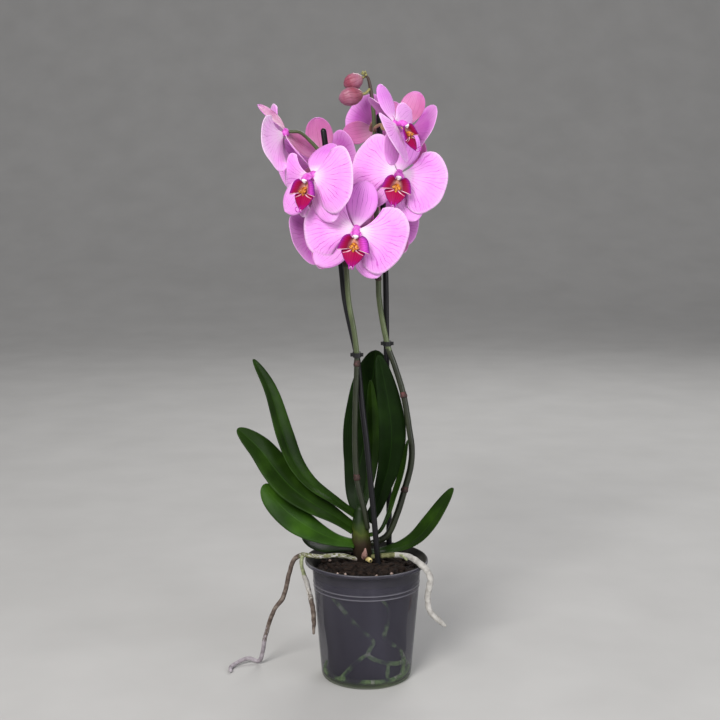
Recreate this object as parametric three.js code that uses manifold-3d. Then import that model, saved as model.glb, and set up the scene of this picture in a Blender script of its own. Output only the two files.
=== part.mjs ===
// A moth orchid with two flower spikes, growing in bark in a translucent grey nursery pot.
// Millimetres, +Z up, origin at the centre of the pot's underside. The front of the plant faces -Y.
import * as THREE from 'three';
import { mergeVertices } from 'three/addons/utils/BufferGeometryUtils.js';
import Module from 'manifold-3d';

const wasm = await Module();
wasm.setup();

// ---- Driving dimensions ----
const GAP = 0.3; // between pieces that touch

const POT_RADIUS = 60; // over the lip
const POT_HEIGHT = 118.2;
const WALL = 1.0;
const WALL_FOOT_RADIUS = 43.9; // the wall's outer radius, carried down to z = 0
const WALL_SLOPE = 0.083; // radius gained per millimetre of height
const LIP_FOOT = 112; // where the wall turns out into the lip
const POT_SIDES = 30;
const RING_HEIGHTS = [91.5, 95.5]; // the two thin moulded rings
const RING_SIZE = 0.7; // half a ring's height
const DRAIN_HOLES = 6;
const DRAIN_RADIUS = 5;
const DRAIN_CIRCLE = 28;

const ROOT_SPACE = 6.4; // between the bark and the wall, where the roots run
const WALL_ROOT_RADIUS = 2.1;
const BARK_SIDES = 28;
const CHIP_COUNT = 14;

const JOINT_RISE = 0.8; // how far a joint stands out of its spike
const JOINT_LENGTH = 6;
const STAKE_RADIUS = 2.75;
const CLIP_HEIGHT = 4.2;

const PETAL_REACH = 48; // from the flower's centre to the petal's outer edge
const PETAL_AIMS = [180, -8]; // degrees, left and right, in the flower's own plane
const PETAL_SPREAD = 59; // degrees from a petal's middle line to its outer corners
const DORSAL_REACH = 45;
const DORSAL_AIM = 87;
const LATERAL_REACH = 48;
const LATERAL_AIMS = [229, -57];
const SEPAL_WIDTH = 29;
const PETAL_THICKNESS = 0.9;
const HUB_RADIUS = 5;
const HUB_DEPTH = 4.2; // from its middle to its front or back
const HUB_BACK = -6; // the back of the hub, along the flower's own axis
const STALK_RADIUS = 1.5;
const STALK_LEAD = 11;
const LIP_THICKNESS = 1.3;
const LOBE_REACH = 12; // how far a side lobe of the lip spreads

// ---- Colours and finishes ----
const finish = (color, roughness) => new THREE.MeshStandardMaterial({ color, roughness, metalness: 0 });
const FINISH = {
  pot: finish('#4a474f', 0.45),
  bark: finish('#2e2018', 0.95),
  wallRoot: finish('#5d7448', 0.6),
  root: finish('#8f8580', 0.85),
  rootPale: finish('#c9c5bd', 0.85),
  stem: finish('#6f8038', 0.55),
  leaf: finish('#23421a', 0.35),
  spike: finish('#5a6545', 0.55),
  stake: finish('#17161a', 0.5),
  clip: finish('#0f0f11', 0.4),
  petal: finish('#f3a6f4', 0.5),
  lip: finish('#a3123f', 0.4),
  bud: finish('#b56478', 0.5),
};

// ---- Flowers: centre, heading, tilt and roll in degrees, size, and how far each petal bends back ----
// A heading of 0 faces the front, +90 the right; a positive roll leans the top to the flower's right.
// petals, dorsalAim and farSepal turn those blades from their usual aims; dorsal and laterals bend the
// sepals back.
// The stalk is a route from the spike, and lead is its last straight length behind the flower.
const FLOWERS = [
  {
    at: [-9.8, -42, 438.9], heading: 2, tilt: 0, roll: 9, size: 1.0, bend: [12, 0], petals: [176, -11],
    stalk: [[-26, -6, 452], [-22, -16, 449]],
  },
  {
    at: [29.4, -20, 489.4], heading: 4, tilt: 8, roll: 13, size: 0.95, bend: [18, 4], petals: [174, -5],
    stalk: [[8.2, 6.5, 492], [16, 2, 494]],
  },
  {
    at: [-49.4, -44, 487.8], heading: -34, tilt: 4, roll: 4, size: 0.96, bend: [30, 0], petals: [203, -4],
    dorsal: 50, dorsalAim: 98, stalk: [[-33.5, -4, 489], [-39, -16, 491]],
  },
  {
    at: [-76.8, -2.4, 527], heading: -104, tilt: -12, roll: 10, size: 0.88, bend: [-40, -16],
    petals: [182, -14], dorsal: -45, laterals: 30, stalk: null,
  },
  {
    at: [-42.5, 50, 502.5], heading: 178, tilt: 6, roll: 4, size: 0.92, bend: [45, 0],
    stalk: [[-36.5, -3, 500], [-30, 4, 502], [-35, 24, 504]],
  },
  {
    at: [-42, 16, 436], heading: -135, tilt: -15, roll: 8, size: 0.85, bend: [0, 0], lead: 4,
    stalk: [[-23.5, -6, 436], [-32, -5.5, 441]],
  },
  {
    at: [26.4, -40, 534], heading: 56, tilt: 14, roll: -14, size: 0.84, bend: [-20, 62],
    petals: [206, 40], farSepal: 8, stalk: [[7.4, 6, 529], [8, -10, 532], [13, -21, 534]],
  },
  {
    at: [10.5, 34, 531], heading: 152, tilt: 0, roll: -50, size: 0.76, bend: [0, 0],
    stalk: [[7.2, 5.7, 538], [5, 13, 536]],
  },
  {
    at: [37.8, 55, 531.7], heading: 166, tilt: -25, roll: -16, size: 0.88, bend: [44, 0],
    stalk: [[7.9, 6.6, 510], [24, 6, 518], [42, 16, 526], [46, 32, 530]],
  },
  {
    at: [8.4, 50, 444], heading: 168, tilt: 0, roll: 6, size: 0.9, bend: [0, 0],
    stalk: [[9.6, 8.5, 436], [9.2, 16, 438], [8.8, 26, 442]],
  },
];

// ---- Routes: x, y, z ----
const STEM_ROUTE = [[-2, 2, 97], [-3, 1, 116], [-5, 0, 134], [-6, 0, 150], [-6, 1, 166]];
const STEM_RADII = [7.5, 9, 9.2, 8.2, 5.5];

const SPIKE_LEFT_ROUTE = [
  [1, -6, 150], [-1.4, -8, 164.5], [-9.2, -9, 200], [-11.1, -9, 236], [-10.6, -8, 275], [-9.3, -6.3, 310],
  [-9.4, -6, 320], [-12, -6, 342], [-17.1, -6, 371], [-19.5, -6, 405], [-25, -6, 446], [-33, -4, 487],
  [-42, -2, 507], [-53, -1.5, 520], [-62.4, -2.9, 527.6], [-71.4, -3.7, 528.1],
];
const SPIKE_LEFT_RADII = [2.5, 2.7, 2.7, 2.6, 2.6, 2.6, 2.6, 2.5, 2.5, 2.4, 2.3, 2.1, 1.9, 1.7, 1.6, 1.5];
const SPIKE_LEFT_JOINTS = [2, 5, 9]; // counted along the route

const SPIKE_RIGHT_ROUTE = [
  [5, 6, 131], [12, 6.5, 133.5], [20, 6, 138.5], [29.5, 5, 159.7], [37, 5, 184.7], [43, 6, 208.6],
  [44, 7, 225.4], [41.5, 8, 244.2], [35.9, 9.5, 277], [27.6, 11, 305], [20.1, 11.7, 326.5], [12, 11, 370.4],
  [11.2, 10, 390.4], [9.3, 8, 446], [7.4, 6, 527], [5.8, 5, 552], [3.8, 5, 566], [1.2, 5, 577.4],
  [-1.6, 5, 581.4],
];
const SPIKE_RIGHT_RADII = [
  2.8, 3.0, 3.2, 3.2, 3.1, 3.1, 3.0, 2.9, 2.9, 2.8, 2.7, 2.6, 2.6, 2.4, 2.1, 1.9, 1.7, 1.4, 0.9,
];
const SPIKE_RIGHT_JOINTS = [4, 8, 12];

const STAKE_LEFT_ROUTE = [
  [21.4, -10, 22], [11.4, -12, 114.5], [6.4, -12, 170], [0.2, -8.5, 233], [-4.5, -3.2, 272],
  [-7.5, -0.6, 303], [-9.2, 0.4, 317], [-20.6, 1, 370.5], [-24.3, 2, 404.7], [-40.4, 4, 529],
];
const STAKE_RIGHT_ROUTE = [
  [23, 18, 22], [22.4, 18, 133], [22.2, 18, 178], [20, 18, 271], [19.3, 18, 326.5], [18.1, 18, 400],
  [11.6, 17, 543],
];

const ROOT_LEFT_ROUTE = [
  [-10, -4, 118], [-25.7, -10, 123.4], [-45.1, -9, 122], [-55.9, -6, 122], [-62, -4, 122.4],
  [-69.7, -2, 117.7], [-75.2, 2, 103.5], [-78.7, 6, 87.5], [-82.9, 9, 73.6], [-90.3, 12, 62.9],
  [-96.2, 16, 48], [-101.4, 19, 29.2], [-108.2, 24, 3.4], [-119, 25, 5.6], [-134.6, 11, 2.5],
  [-134.4, 0, 2.4],
];
const ROOT_LEFT_RADII = [2.2, 2.3, 2.2, 2.2, 2.4, 2.2, 2.2, 2.2, 2.3, 2.1, 2.1, 2.1, 2.1, 2.0, 2.0, 1.6];
const ROOT_BRANCH_ROUTE = [
  [-62, -4, 122], [-63.2, -8.6, 116.5], [-61.8, -10, 108], [-58.2, -10, 96.5], [-55.3, -10, 84.6],
  [-52, -11, 68.8], [-51.2, -12, 56.5], [-51.6, -12, 45.5],
];
const ROOT_BRANCH_RADII = [2.0, 1.9, 1.8, 2.6, 2.4, 2.4, 2.1, 1.2];
const ROOT_RIGHT_ROUTE = [
  [4, -2, 119.5], [13, -7, 122], [22, -10.5, 123.6], [30.4, -15, 125.2], [41, -22, 125.6],
  [50.2, -31, 122.2], [56.5, -35.5, 117.4], [60.6, -37.6, 109], [59.7, -38, 101.5], [58.1, -37, 90.7],
  [60.4, -37, 76.8], [69.6, -38, 67.3], [74.9, -39, 63],
];
const ROOT_RIGHT_RADII = [2.2, 2.4, 2.6, 2.7, 2.9, 3.1, 3.1, 3.0, 2.9, 2.9, 2.8, 2.6, 1.6];

// Roots on the inside of the wall, each as turns round the pot (degrees, -90 is the front) and heights.
const WALL_ROOTS = [
  [
    [-196, 8], [-170, 6.6], [-141, 6.6], [-118, 7.6], [-91, 7.4], [-66, 6.6], [-41, 6.8], [-10, 8],
    [20, 7], [50, 7],
  ],
  [[-72, 90], [-64, 81], [-65, 64], [-68, 51], [-52, 41], [-38, 31], [-31, 20], [-34, 7]],
  [[-134, 90], [-122, 82], [-98, 61], [-82, 49], [-88, 36], [-79, 30], [-62, 25], [-46, 22], [-31, 21]],
  [[-87, 37], [-101, 29], [-119, 14], [-128, 7]],
  [[-60, 25], [-61, 15], [-61, 7]],
  [[150, 90], [128, 68], [100, 45], [72, 24], [44, 7]],
  [[30, 88], [20, 66], [38, 48], [62, 36], [84, 33]],
];

// Leaves: route from the stem to the tip, width, the way the upper face looks at foot and tip,
// how far each half folds up from the midrib (degrees), and how blunt the tip is (2 sharp, 8 round).
const LEAVES = [
  {
    route: [
      [-11, 1, 160], [-31.6, 2, 174.4], [-55, 3, 191.2], [-70, 3, 211], [-80.5, 3, 238], [-94, 4, 284],
      [-109, 5, 313.5],
    ],
    width: 30, faceFoot: [0.5, -0.5, 0.75], faceTip: [0.75, -0.62, 0.3], fold: 16, blunt: 2.4,
  },
  {
    route: [
      [-13, 0, 146.5], [-31, 0, 159], [-54, -1, 173.5], [-75, -1, 190], [-90, -1, 208], [-104, -1, 227],
      [-124.5, 0, 246.5],
    ],
    width: 45, faceFoot: [0.4, -0.55, 0.75], faceTip: [0.45, -0.75, 0.5], fold: 12, blunt: 2.3,
  },
  {
    route: [
      [-12, -3, 133], [-31, -6, 138], [-53, -8, 148.5], [-72, -9.5, 162], [-88.5, -10, 178.5],
      [-99.5, -10, 193.5],
    ],
    width: 31, faceFoot: [0.2, -0.6, 0.8], faceTip: [0.3, -0.85, 0.5], fold: 4, blunt: 6,
  },
  {
    route: [[-10, 6, 124], [-24, 13, 124], [-40, 19, 125], [-53, 22, 128.5], [-64, 23, 135]],
    width: 26, faceFoot: [0.2, -0.4, 0.9], faceTip: [0.2, -0.55, 0.8], fold: 10, blunt: 5,
  },
  {
    route: [
      [-7, 8, 158], [-11, 21, 178], [-5, 29, 212], [2, 31, 250], [5, 32, 282], [8, 31, 306], [9, 29, 319],
    ],
    width: 51, faceFoot: [-0.2, -1, 0.2], faceTip: [0.1, -1, 0], fold: 8, blunt: 4, foot: 0.26,
  },
  {
    route: [
      [1, 3, 154], [9, 7, 166], [16, 9, 188], [22, 10, 212], [24, 10, 240], [21, 10, 268], [16, 10, 295],
      [11, 9, 317],
    ],
    width: 33, faceFoot: [0.2, -0.9, 0.3], faceTip: [0.5, -0.85, 0], fold: 14, blunt: 3,
  },
  {
    route: [
      [-4, 4, 166], [0, 9, 178], [4, 14, 196], [6, 18, 221], [6, 20, 250], [5, 21, 275], [4, 20, 291],
    ],
    width: 17, faceFoot: [0, -1, 0.3], faceTip: [0, -1, 0], fold: 25, blunt: 3,
  },
  {
    route: [[3, -1, 141], [12, -2, 144], [21, -3, 160], [28, -3, 182], [35.4, -3, 207], [40, -2, 236]],
    width: 17, faceFoot: [-0.8, -0.2, 0.5], faceTip: [-0.9, -0.3, 0.2], fold: 12, blunt: 3,
  },
  {
    route: [
      [4, 5, 121.5], [20, 8, 123], [36, 8, 127], [50, 6, 136], [61.5, 4, 149.5], [73, 3, 167.5],
      [84.4, 2, 187.5],
    ],
    width: 27, faceFoot: [-0.1, -0.3, 1], faceTip: [-0.6, -0.6, 0.5], fold: 16, blunt: 2.4,
  },
];

// Buds: the two ends, the width, and where the stalk leaves the spike.
const BUDS = [
  { tip: [-21.4, 10, 570.6], foot: [-3.8, 7.6, 578.2], width: 16, stalk: [-0.6, 5, 580.4] },
  { tip: [-26, -3.2, 557.8], foot: [-3.6, 1.2, 562.8], width: 17.4, stalk: [3.4, 5, 568] },
];

// ---- Solids: joining, cutting and showing ----
const vector = ([x, y, z]) => new THREE.Vector3(x, y, z);

// A closed mesh as a solid that can be joined and cut.
function solidOf(geometry) {
  const bare = geometry.clone();
  bare.deleteAttribute('normal');
  bare.deleteAttribute('uv');
  const merged = mergeVertices(bare, 1e-4);
  const corners = merged.index.array;
  const kept = [];
  for (let i = 0; i < corners.length; i += 3) {
    const [a, b, c] = corners.slice(i, i + 3);
    if (a !== b && b !== c && c !== a) {
      kept.push(a, b, c);
    }
  }
  const vertProperties = new Float32Array(merged.attributes.position.array);
  return new wasm.Manifold(new wasm.Mesh({ numProp: 3, vertProperties, triVerts: new Uint32Array(kept) }));
}

const joined = (geometries) => geometries.map(solidOf).reduce((whole, piece) => whole.add(piece));

// The body that is left after the cutters are taken away, without loose scraps.
function cut(solid, cutters) {
  const left = cutters.reduce((rest, cutter) => rest.subtract(cutter), solid);
  const bodies = left.decompose();
  return bodies.sort((a, b) => b.volume() - a.volume())[0];
}

// A named mesh of a solid.
function show(name, solid, material) {
  const { vertProperties, triVerts } = solid.getMesh();
  const geometry = new THREE.BufferGeometry();
  geometry.setAttribute('position', new THREE.BufferAttribute(vertProperties, 3));
  geometry.setIndex(new THREE.BufferAttribute(triVerts, 1));
  const mesh = new THREE.Mesh(geometry, material);
  mesh.name = name;
  return mesh;
}

// ---- Shapes that the pieces are made from ----
// A closed body through rings of points, with a fan over each end.
function loft(rings) {
  const count = rings[0].length;
  const points = rings.flat();
  const faces = [];
  for (let i = 0; i + 1 < rings.length; i++) {
    for (let j = 0; j < count; j++) {
      const a = i * count + j;
      const b = i * count + ((j + 1) % count);
      faces.push(a, b, b + count, a, b + count, a + count);
    }
  }
  const last = (rings.length - 1) * count;
  const ends = [rings[0], rings.at(-1)].map((ring) => {
    const middle = ring.reduce((sum, point) => sum.add(point), new THREE.Vector3());
    return points.push(middle.divideScalar(count)) - 1;
  });
  for (let j = 0; j < count; j++) {
    const next = (j + 1) % count;
    faces.push(ends[0], next, j, ends[1], last + j, last + next);
  }
  return new THREE.BufferGeometry().setFromPoints(points).setIndex(faces);
}

// A round stem along a smooth route, with a radius for each point of the route. The points listed in
// joints get a short collar there. extra widens the whole stem.
function stemTube(route, radii, sides, { extra = 0, joints = [] } = {}) {
  const curve = new THREE.CatmullRomCurve3(route.map(vector));
  const spans = route.length - 1;
  const places = route.map((_, i) => i);
  joints.forEach((k) => {
    const after = JOINT_LENGTH / 2 / vector(route[k]).distanceTo(vector(route[k + 1]));
    const before = JOINT_LENGTH / 2 / vector(route[k]).distanceTo(vector(route[k - 1]));
    places.push(k - before, k + after);
  });
  places.sort((a, b) => a - b);
  let across = new THREE.Vector3(0, 0, 1).cross(curve.getTangent(0));
  if (across.length() < 0.2) {
    across = new THREE.Vector3(1, 0, 0);
  }
  const rings = places.map((place) => {
    const centre = curve.getPoint(place / spans);
    const along = curve.getTangent(place / spans);
    across.addScaledVector(along, -across.dot(along)).normalize();
    const beside = along.clone().cross(across);
    const span = Math.min(Math.floor(place), spans - 1);
    const collar = joints.includes(place) ? JOINT_RISE : 0;
    const radius = THREE.MathUtils.lerp(radii[span], radii[span + 1], place - span) + collar + extra;
    return Array.from({ length: sides }, (_, k) => {
      const turn = (2 * Math.PI * k) / sides;
      return centre.clone()
        .addScaledVector(across, radius * Math.cos(turn))
        .addScaledVector(beside, radius * Math.sin(turn));
    });
  });
  return loft(rings);
}

// A thin blade about a middle surface: u runs from foot (0) to tip (1), v from edge to edge (-1 to 1).
// Both faces are split into the same triangles. A pointed blade's tip is one point.
function blade(surface, thickness, rows, columns, pointed) {
  const nudge = 1e-3;
  const front = [];
  const back = [];
  for (let i = 0; i <= rows; i++) {
    for (let j = 0; j <= columns; j++) {
      const u = i / rows;
      const v = -1 + (2 * j) / columns;
      const vHere = pointed && i === rows ? 0 : v;
      const uIn = THREE.MathUtils.clamp(u, nudge, 1 - 10 * nudge);
      const vIn = THREE.MathUtils.clamp(vHere, -1 + nudge, 1 - nudge);
      const alongU = surface(uIn + nudge, vIn).sub(surface(uIn - nudge, vIn));
      const alongV = surface(uIn, vIn + nudge).sub(surface(uIn, vIn - nudge));
      const normal = alongU.cross(alongV).normalize();
      const middle = surface(u, vHere);
      const half = thickness(u, vHere) / 2;
      front.push(middle.clone().addScaledVector(normal, half));
      back.push(middle.clone().addScaledVector(normal, -half));
    }
  }
  const wide = columns + 1;
  const under = front.length;
  const faces = [];
  const quad = (a, b, c, d) => faces.push(a, b, c, a, c, d);
  for (let i = 0; i < rows; i++) {
    for (let j = 0; j < columns; j++) {
      const a = i * wide + j;
      const c = a + wide + 1;
      faces.push(a, a + wide, c, a, c, a + 1);
      faces.push(under + a, under + c, under + a + wide, under + a, under + a + 1, under + c);
    }
    const left = i * wide;
    const right = left + columns;
    quad(left, under + left, under + left + wide, left + wide);
    quad(right, right + wide, under + right + wide, under + right);
  }
  for (let j = 0; j < columns; j++) {
    const tip = rows * wide + j;
    quad(j, j + 1, under + j + 1, under + j);
    quad(tip, under + tip, under + tip + 1, tip + 1);
  }
  return new THREE.BufferGeometry().setFromPoints(front.concat(back)).setIndex(faces);
}

// A plain ball, squeezed along its axes.
function ball(centre, [rx, ry, rz], around, down) {
  return new THREE.SphereGeometry(1, around, down).scale(rx, ry, rz).translate(...centre);
}

// Random numbers that come out the same each time.
function seeded(seed) {
  let state = seed;
  return () => {
    state = (state * 1664525 + 1013904223) % 4294967296;
    return state / 4294967296;
  };
}

// ---- Pot ----
const wallRadius = (z) => WALL_FOOT_RADIUS + WALL_SLOPE * z;
const innerRadius = (z) => wallRadius(z) - WALL;

function turned(profile, sides) {
  const points = profile.map(([radius, z]) => new THREE.Vector2(radius, z));
  return new THREE.LatheGeometry(points, sides).rotateX(Math.PI / 2);
}

function potSolid() {
  const ring = (z) => [
    [wallRadius(z - RING_SIZE), z - RING_SIZE],
    [wallRadius(z) + 0.45, z],
    [wallRadius(z + RING_SIZE), z + RING_SIZE],
  ];
  const outside = [
    [0, 0], [40.6, 0], [43, 1], [wallRadius(4), 4], ...RING_HEIGHTS.flatMap(ring),
    [wallRadius(LIP_FOOT), LIP_FOOT], [POT_RADIUS - 2.4, 114], [POT_RADIUS, 115], [POT_RADIUS, 117.4],
  ];
  const inside = [
    [POT_RADIUS - 0.8, POT_HEIGHT], [57.2, 117], [innerRadius(LIP_FOOT), LIP_FOOT + 0.4],
    [innerRadius(5), 5], [40, 2], [0, 2],
  ];
  const shell = solidOf(turned([...outside, ...inside], POT_SIDES));
  const holes = Array.from({ length: DRAIN_HOLES }, (_, k) => {
    const turn = (2 * Math.PI * (k + 0.5)) / DRAIN_HOLES;
    const hole = new THREE.CylinderGeometry(DRAIN_RADIUS, DRAIN_RADIUS, 12, 8).rotateX(Math.PI / 2);
    return solidOf(hole.translate(DRAIN_CIRCLE * Math.cos(turn), DRAIN_CIRCLE * Math.sin(turn), 1));
  });
  return cut(shell, holes);
}

// ---- Roots on the inside of the wall ----
function onWall([turn, z]) {
  const radius = innerRadius(z) - 0.7 - WALL_ROOT_RADIUS;
  const angle = THREE.MathUtils.degToRad(turn);
  return [radius * Math.cos(angle), radius * Math.sin(angle), z];
}

function wallRootSolid() {
  return joined(WALL_ROOTS.map((turns) => {
    const radii = turns.map((_, k) => WALL_ROOT_RADIUS - (k === 0 ? 0.7 : 0));
    return stemTube(turns.map(onWall), radii, 5);
  }));
}

// ---- Bark: a block that fills the pot, with a mounded, lumpy top and loose chips sunk into it ----
const moundHeight = (radius) => 115.2 - 6.5 * (radius / 52) ** 2;

function barkSolid() {
  const side = (z) => [innerRadius(z) - ROOT_SPACE, z];
  const brim = innerRadius(99) - 2 * GAP;
  const heights = [46, 34, 20, 0].map((radius) => [radius, moundHeight(radius)]);
  const profile = [[0, 2.4], [38, 2.4], side(6), side(92), [brim, 99], [brim, 105], ...heights];
  const block = turned(profile, BARK_SIDES);
  const spots = block.attributes.position;
  const point = new THREE.Vector3();
  for (let i = 0; i < spots.count; i++) {
    point.fromBufferAttribute(spots, i);
    if (point.z > 106) {
      spots.setZ(i, point.z + 1.3 * Math.sin(point.x * 0.31 + 1) * Math.cos(point.y * 0.27));
    }
  }
  const random = seeded(7);
  const chips = Array.from({ length: CHIP_COUNT }, (_, k) => {
    const turn = k * 2.4;
    const radius = 12 + 28 * Math.sqrt((k + 0.5) / CHIP_COUNT);
    const chip = new THREE.BoxGeometry(8 + 7 * random(), 5 + 4 * random(), 5);
    chip.rotateX(0.5 * (random() - 0.5)).rotateY(0.6 * (random() - 0.5)).rotateZ(6.3 * random());
    return chip.translate(radius * Math.cos(turn), radius * Math.sin(turn), moundHeight(radius) + 0.4);
  });
  return joined([block, ...chips]);
}

// ---- Stem ----
function stemSolid(extra) {
  return solidOf(stemTube(STEM_ROUTE, STEM_RADII, 10, { extra }));
}

function stemPieces() {
  const sheath = stemTube([[-5, 0, 136], [-8.6, -1, 148], [-10.6, -1.4, 157]], [6.4, 5.4, 3], 7);
  const bract = stemTube([[-2.5, -6, 121], [-1.6, -10.4, 125], [-1.2, -11.8, 130.4]], [2.8, 2.3, 0.8], 5);
  const cutRoot = stemTube([[0, -4, 118.4], [3.4, -11.6, 119]], [2.6, 2.4], 7);
  return stemSolid(0).add(joined([sheath, bract, cutRoot]));
}

// ---- Leaves ----
const leafOutline = (u, blunt, foot) => {
  const widening = THREE.MathUtils.smoothstep(u, 0, 0.62);
  return (foot + (1 - foot) * widening) * Math.sqrt(Math.max(1 - u ** blunt, 0));
};

function leafGeometry({ route, width, faceFoot, faceTip, fold, blunt, foot = 0.36 }) {
  const curve = new THREE.CatmullRomCurve3(route.map(vector));
  const foldAngle = THREE.MathUtils.degToRad(fold);
  const surface = (t, v) => {
    const u = 1 - (1 - t) ** 1.25;
    const along = curve.getTangentAt(u);
    const face = vector(faceFoot).lerp(vector(faceTip), u);
    const side = along.clone().cross(face).normalize();
    const up = side.clone().cross(along);
    const half = (width / 2) * leafOutline(u, blunt, foot);
    return curve.getPointAt(u)
      .addScaledVector(side, v * half * Math.cos(foldAngle))
      .addScaledVector(up, Math.abs(v) * half * Math.sin(foldAngle));
  };
  const thickness = (u, v) => 1.1 + 1.5 * (1 - v * v) * (1 - 0.6 * u);
  return blade(surface, thickness, 7, 4, true);
}

// ---- Flowers, in their own frame: x to the viewer's right, y up, z towards the viewer ----
const PETAL_FOOT = 0.06; // the blades start just off the centre, inside the hub
const BEND_START = 14; // a bent petal stays in the plane up to about here

function turnedInPlane(along, across, height, aim) {
  return new THREE.Vector3(
    along * Math.cos(aim) - across * Math.sin(aim),
    along * Math.sin(aim) + across * Math.cos(aim),
    height,
  );
}

// How far out a point of a blade comes, and how far back, once the blade is bent by an angle.
function bentBack(along, angle) {
  const beyond = along ** 2 / (along + BEND_START);
  return [along - beyond * (1 - Math.cos(angle)), beyond * Math.sin(angle)];
}

// A broad petal: a fan from a narrow claw, with rounded shoulders and a slightly waved edge.
function petalGeometry(side, aimDegrees, bend) {
  const aim = THREE.MathUtils.degToRad(aimDegrees);
  const spread = THREE.MathUtils.degToRad(PETAL_SPREAD);
  const surface = (u, w) => {
    const v = side * w;
    const s = PETAL_FOOT + (1 - PETAL_FOOT) * u;
    const angle = side * v * spread * (0.62 + 0.38 * s);
    const radius = PETAL_REACH * s * (1 - 0.04 * v * v - 0.31 * v ** 6);
    const dome = 3.6 * Math.sin(2.2 * s) - 2.4 * s * s;
    const height = 0.2 + dome - 1.1 * v * v * s + 0.9 * Math.sin(3.4 * v + 0.8) * s ** 3;
    const [along, drop] = bentBack(radius * Math.cos(angle), THREE.MathUtils.degToRad(bend));
    return turnedInPlane(along, radius * Math.sin(angle), height - drop, aim);
  };
  return blade(surface, (u) => PETAL_THICKNESS - 0.2 * u, 3, 6, false);
}

// A sepal: a long oval behind the petals.
function sepalGeometry(aimDegrees, reach, bend = 0) {
  const aim = THREE.MathUtils.degToRad(aimDegrees);
  const widest = 0.56;
  const surface = (u, v) => {
    const s = PETAL_FOOT + (1 - PETAL_FOOT) * Math.sin((Math.PI / 2) * u);
    const swell = 0.04 + 0.96 * Math.sin((Math.PI / 2) * Math.min(s / widest, 1)) ** 1.3;
    const round = s > widest ? Math.sqrt(Math.max(1 - ((s - widest) / (1 - widest)) ** 2.2, 0)) : 1;
    const across = v * (SEPAL_WIDTH / 2) * swell * round;
    const height = -1.7 - 2.6 * s * s - 1.4 * v * v * swell;
    const [along, drop] = bentBack(reach * s, THREE.MathUtils.degToRad(bend));
    return turnedInPlane(along, across, height - drop, aim);
  };
  return blade(surface, (u) => PETAL_THICKNESS + 0.1 - 0.3 * u, 4, 2, true);
}

function bloomSolid({
  bend, petals = PETAL_AIMS, dorsal, dorsalAim = DORSAL_AIM, laterals, farSepal = LATERAL_AIMS[1],
}) {
  return joined([
    ball([0, 0, HUB_BACK + HUB_DEPTH], [HUB_RADIUS, HUB_RADIUS, HUB_DEPTH], 6, 4),
    sepalGeometry(dorsalAim, DORSAL_REACH, dorsal),
    sepalGeometry(LATERAL_AIMS[0], LATERAL_REACH, laterals),
    sepalGeometry(farSepal, LATERAL_REACH, laterals),
    petalGeometry(-1, petals[0], bend[0]),
    petalGeometry(1, petals[1], bend[1]),
  ]);
}

// The lip's middle lobe: a narrow claw that widens into an arrow head and ends in a point.
function middleLobe() {
  const route = [[0, -3.4, 4.4], [0, -12, 8.4], [0, -23, 11.8], [0, -34, 13]];
  const middle = new THREE.CatmullRomCurve3(route.map(vector));
  const halfWidths = [1.6, 2.4, 3.4, 10.4, 7.2, 1];
  const spans = halfWidths.length - 1;
  const surface = (u, v) => {
    const place = Math.min(u * spans, spans - 1e-3);
    const k = Math.floor(place);
    const half = THREE.MathUtils.lerp(halfWidths[k], halfWidths[k + 1], place - k);
    return middle.getPoint(u).add(new THREE.Vector3(v * half, 0, -0.16 * half * v * v));
  };
  return blade(surface, () => LIP_THICKNESS, spans, 2, false);
}

// A side lobe: an ear that spreads beside the callus, with its top corner rounded off, and curves in.
function sideLobe(side) {
  const surface = (u, w) => {
    const v = side * w;
    const high = Math.max(v, 0);
    const low = (1 - v) / 2;
    const foot = new THREE.Vector3(side * (1.2 + 1.2 * low), -8 - 9 * low, 6.3 + 3.7 * low);
    const reach = LOBE_REACH * u * (1 - 0.5 * high * high);
    const aim = THREE.MathUtils.degToRad(v > 0 ? 40 * v : 12 * v);
    const rise = (4.6 + 1.4 * v) * u + 1.2 * Math.sin(Math.PI * u);
    return foot.add(new THREE.Vector3(side * reach * Math.cos(aim), reach * Math.sin(aim), rise));
  };
  return blade(surface, () => LIP_THICKNESS, 2, 2, false);
}

function lipSolid() {
  const route = [[0, -0.5, 2.6], [0, -1, 6], [0, -2.6, 9], [0, -5.4, 10.8]];
  const column = stemTube(route, [2.6, 3.6, 4.1, 2.4], 6);
  return joined([column, middleLobe(), sideLobe(-1), sideLobe(1)]);
}

// A group that stands at the flower's centre and is turned to face its way.
function flowerGroup({ at, heading, tilt, roll, size }) {
  const group = new THREE.Group();
  group.position.set(...at);
  group.rotateZ(THREE.MathUtils.degToRad(heading));
  group.rotateX(THREE.MathUtils.degToRad(90 - tilt));
  group.rotateZ(THREE.MathUtils.degToRad(-roll));
  group.scale.setScalar(size);
  group.updateMatrixWorld();
  return group;
}

// The flower's stalk, from its spike round to the back of the flower.
function flowerStalk(flower) {
  const group = flowerGroup(flower);
  const end = group.localToWorld(new THREE.Vector3(0, 0, HUB_BACK - GAP / flower.size));
  const lead = flower.lead ?? STALK_LEAD;
  const before = group.localToWorld(new THREE.Vector3(0, -1, HUB_BACK - lead));
  const route = [...flower.stalk, before.toArray(), end.toArray()];
  return stemTube(route, route.map(() => STALK_RADIUS), 5);
}

// ---- Buds ----
const BUD_SIDES = 9; // every third one lies on a seam

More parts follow.
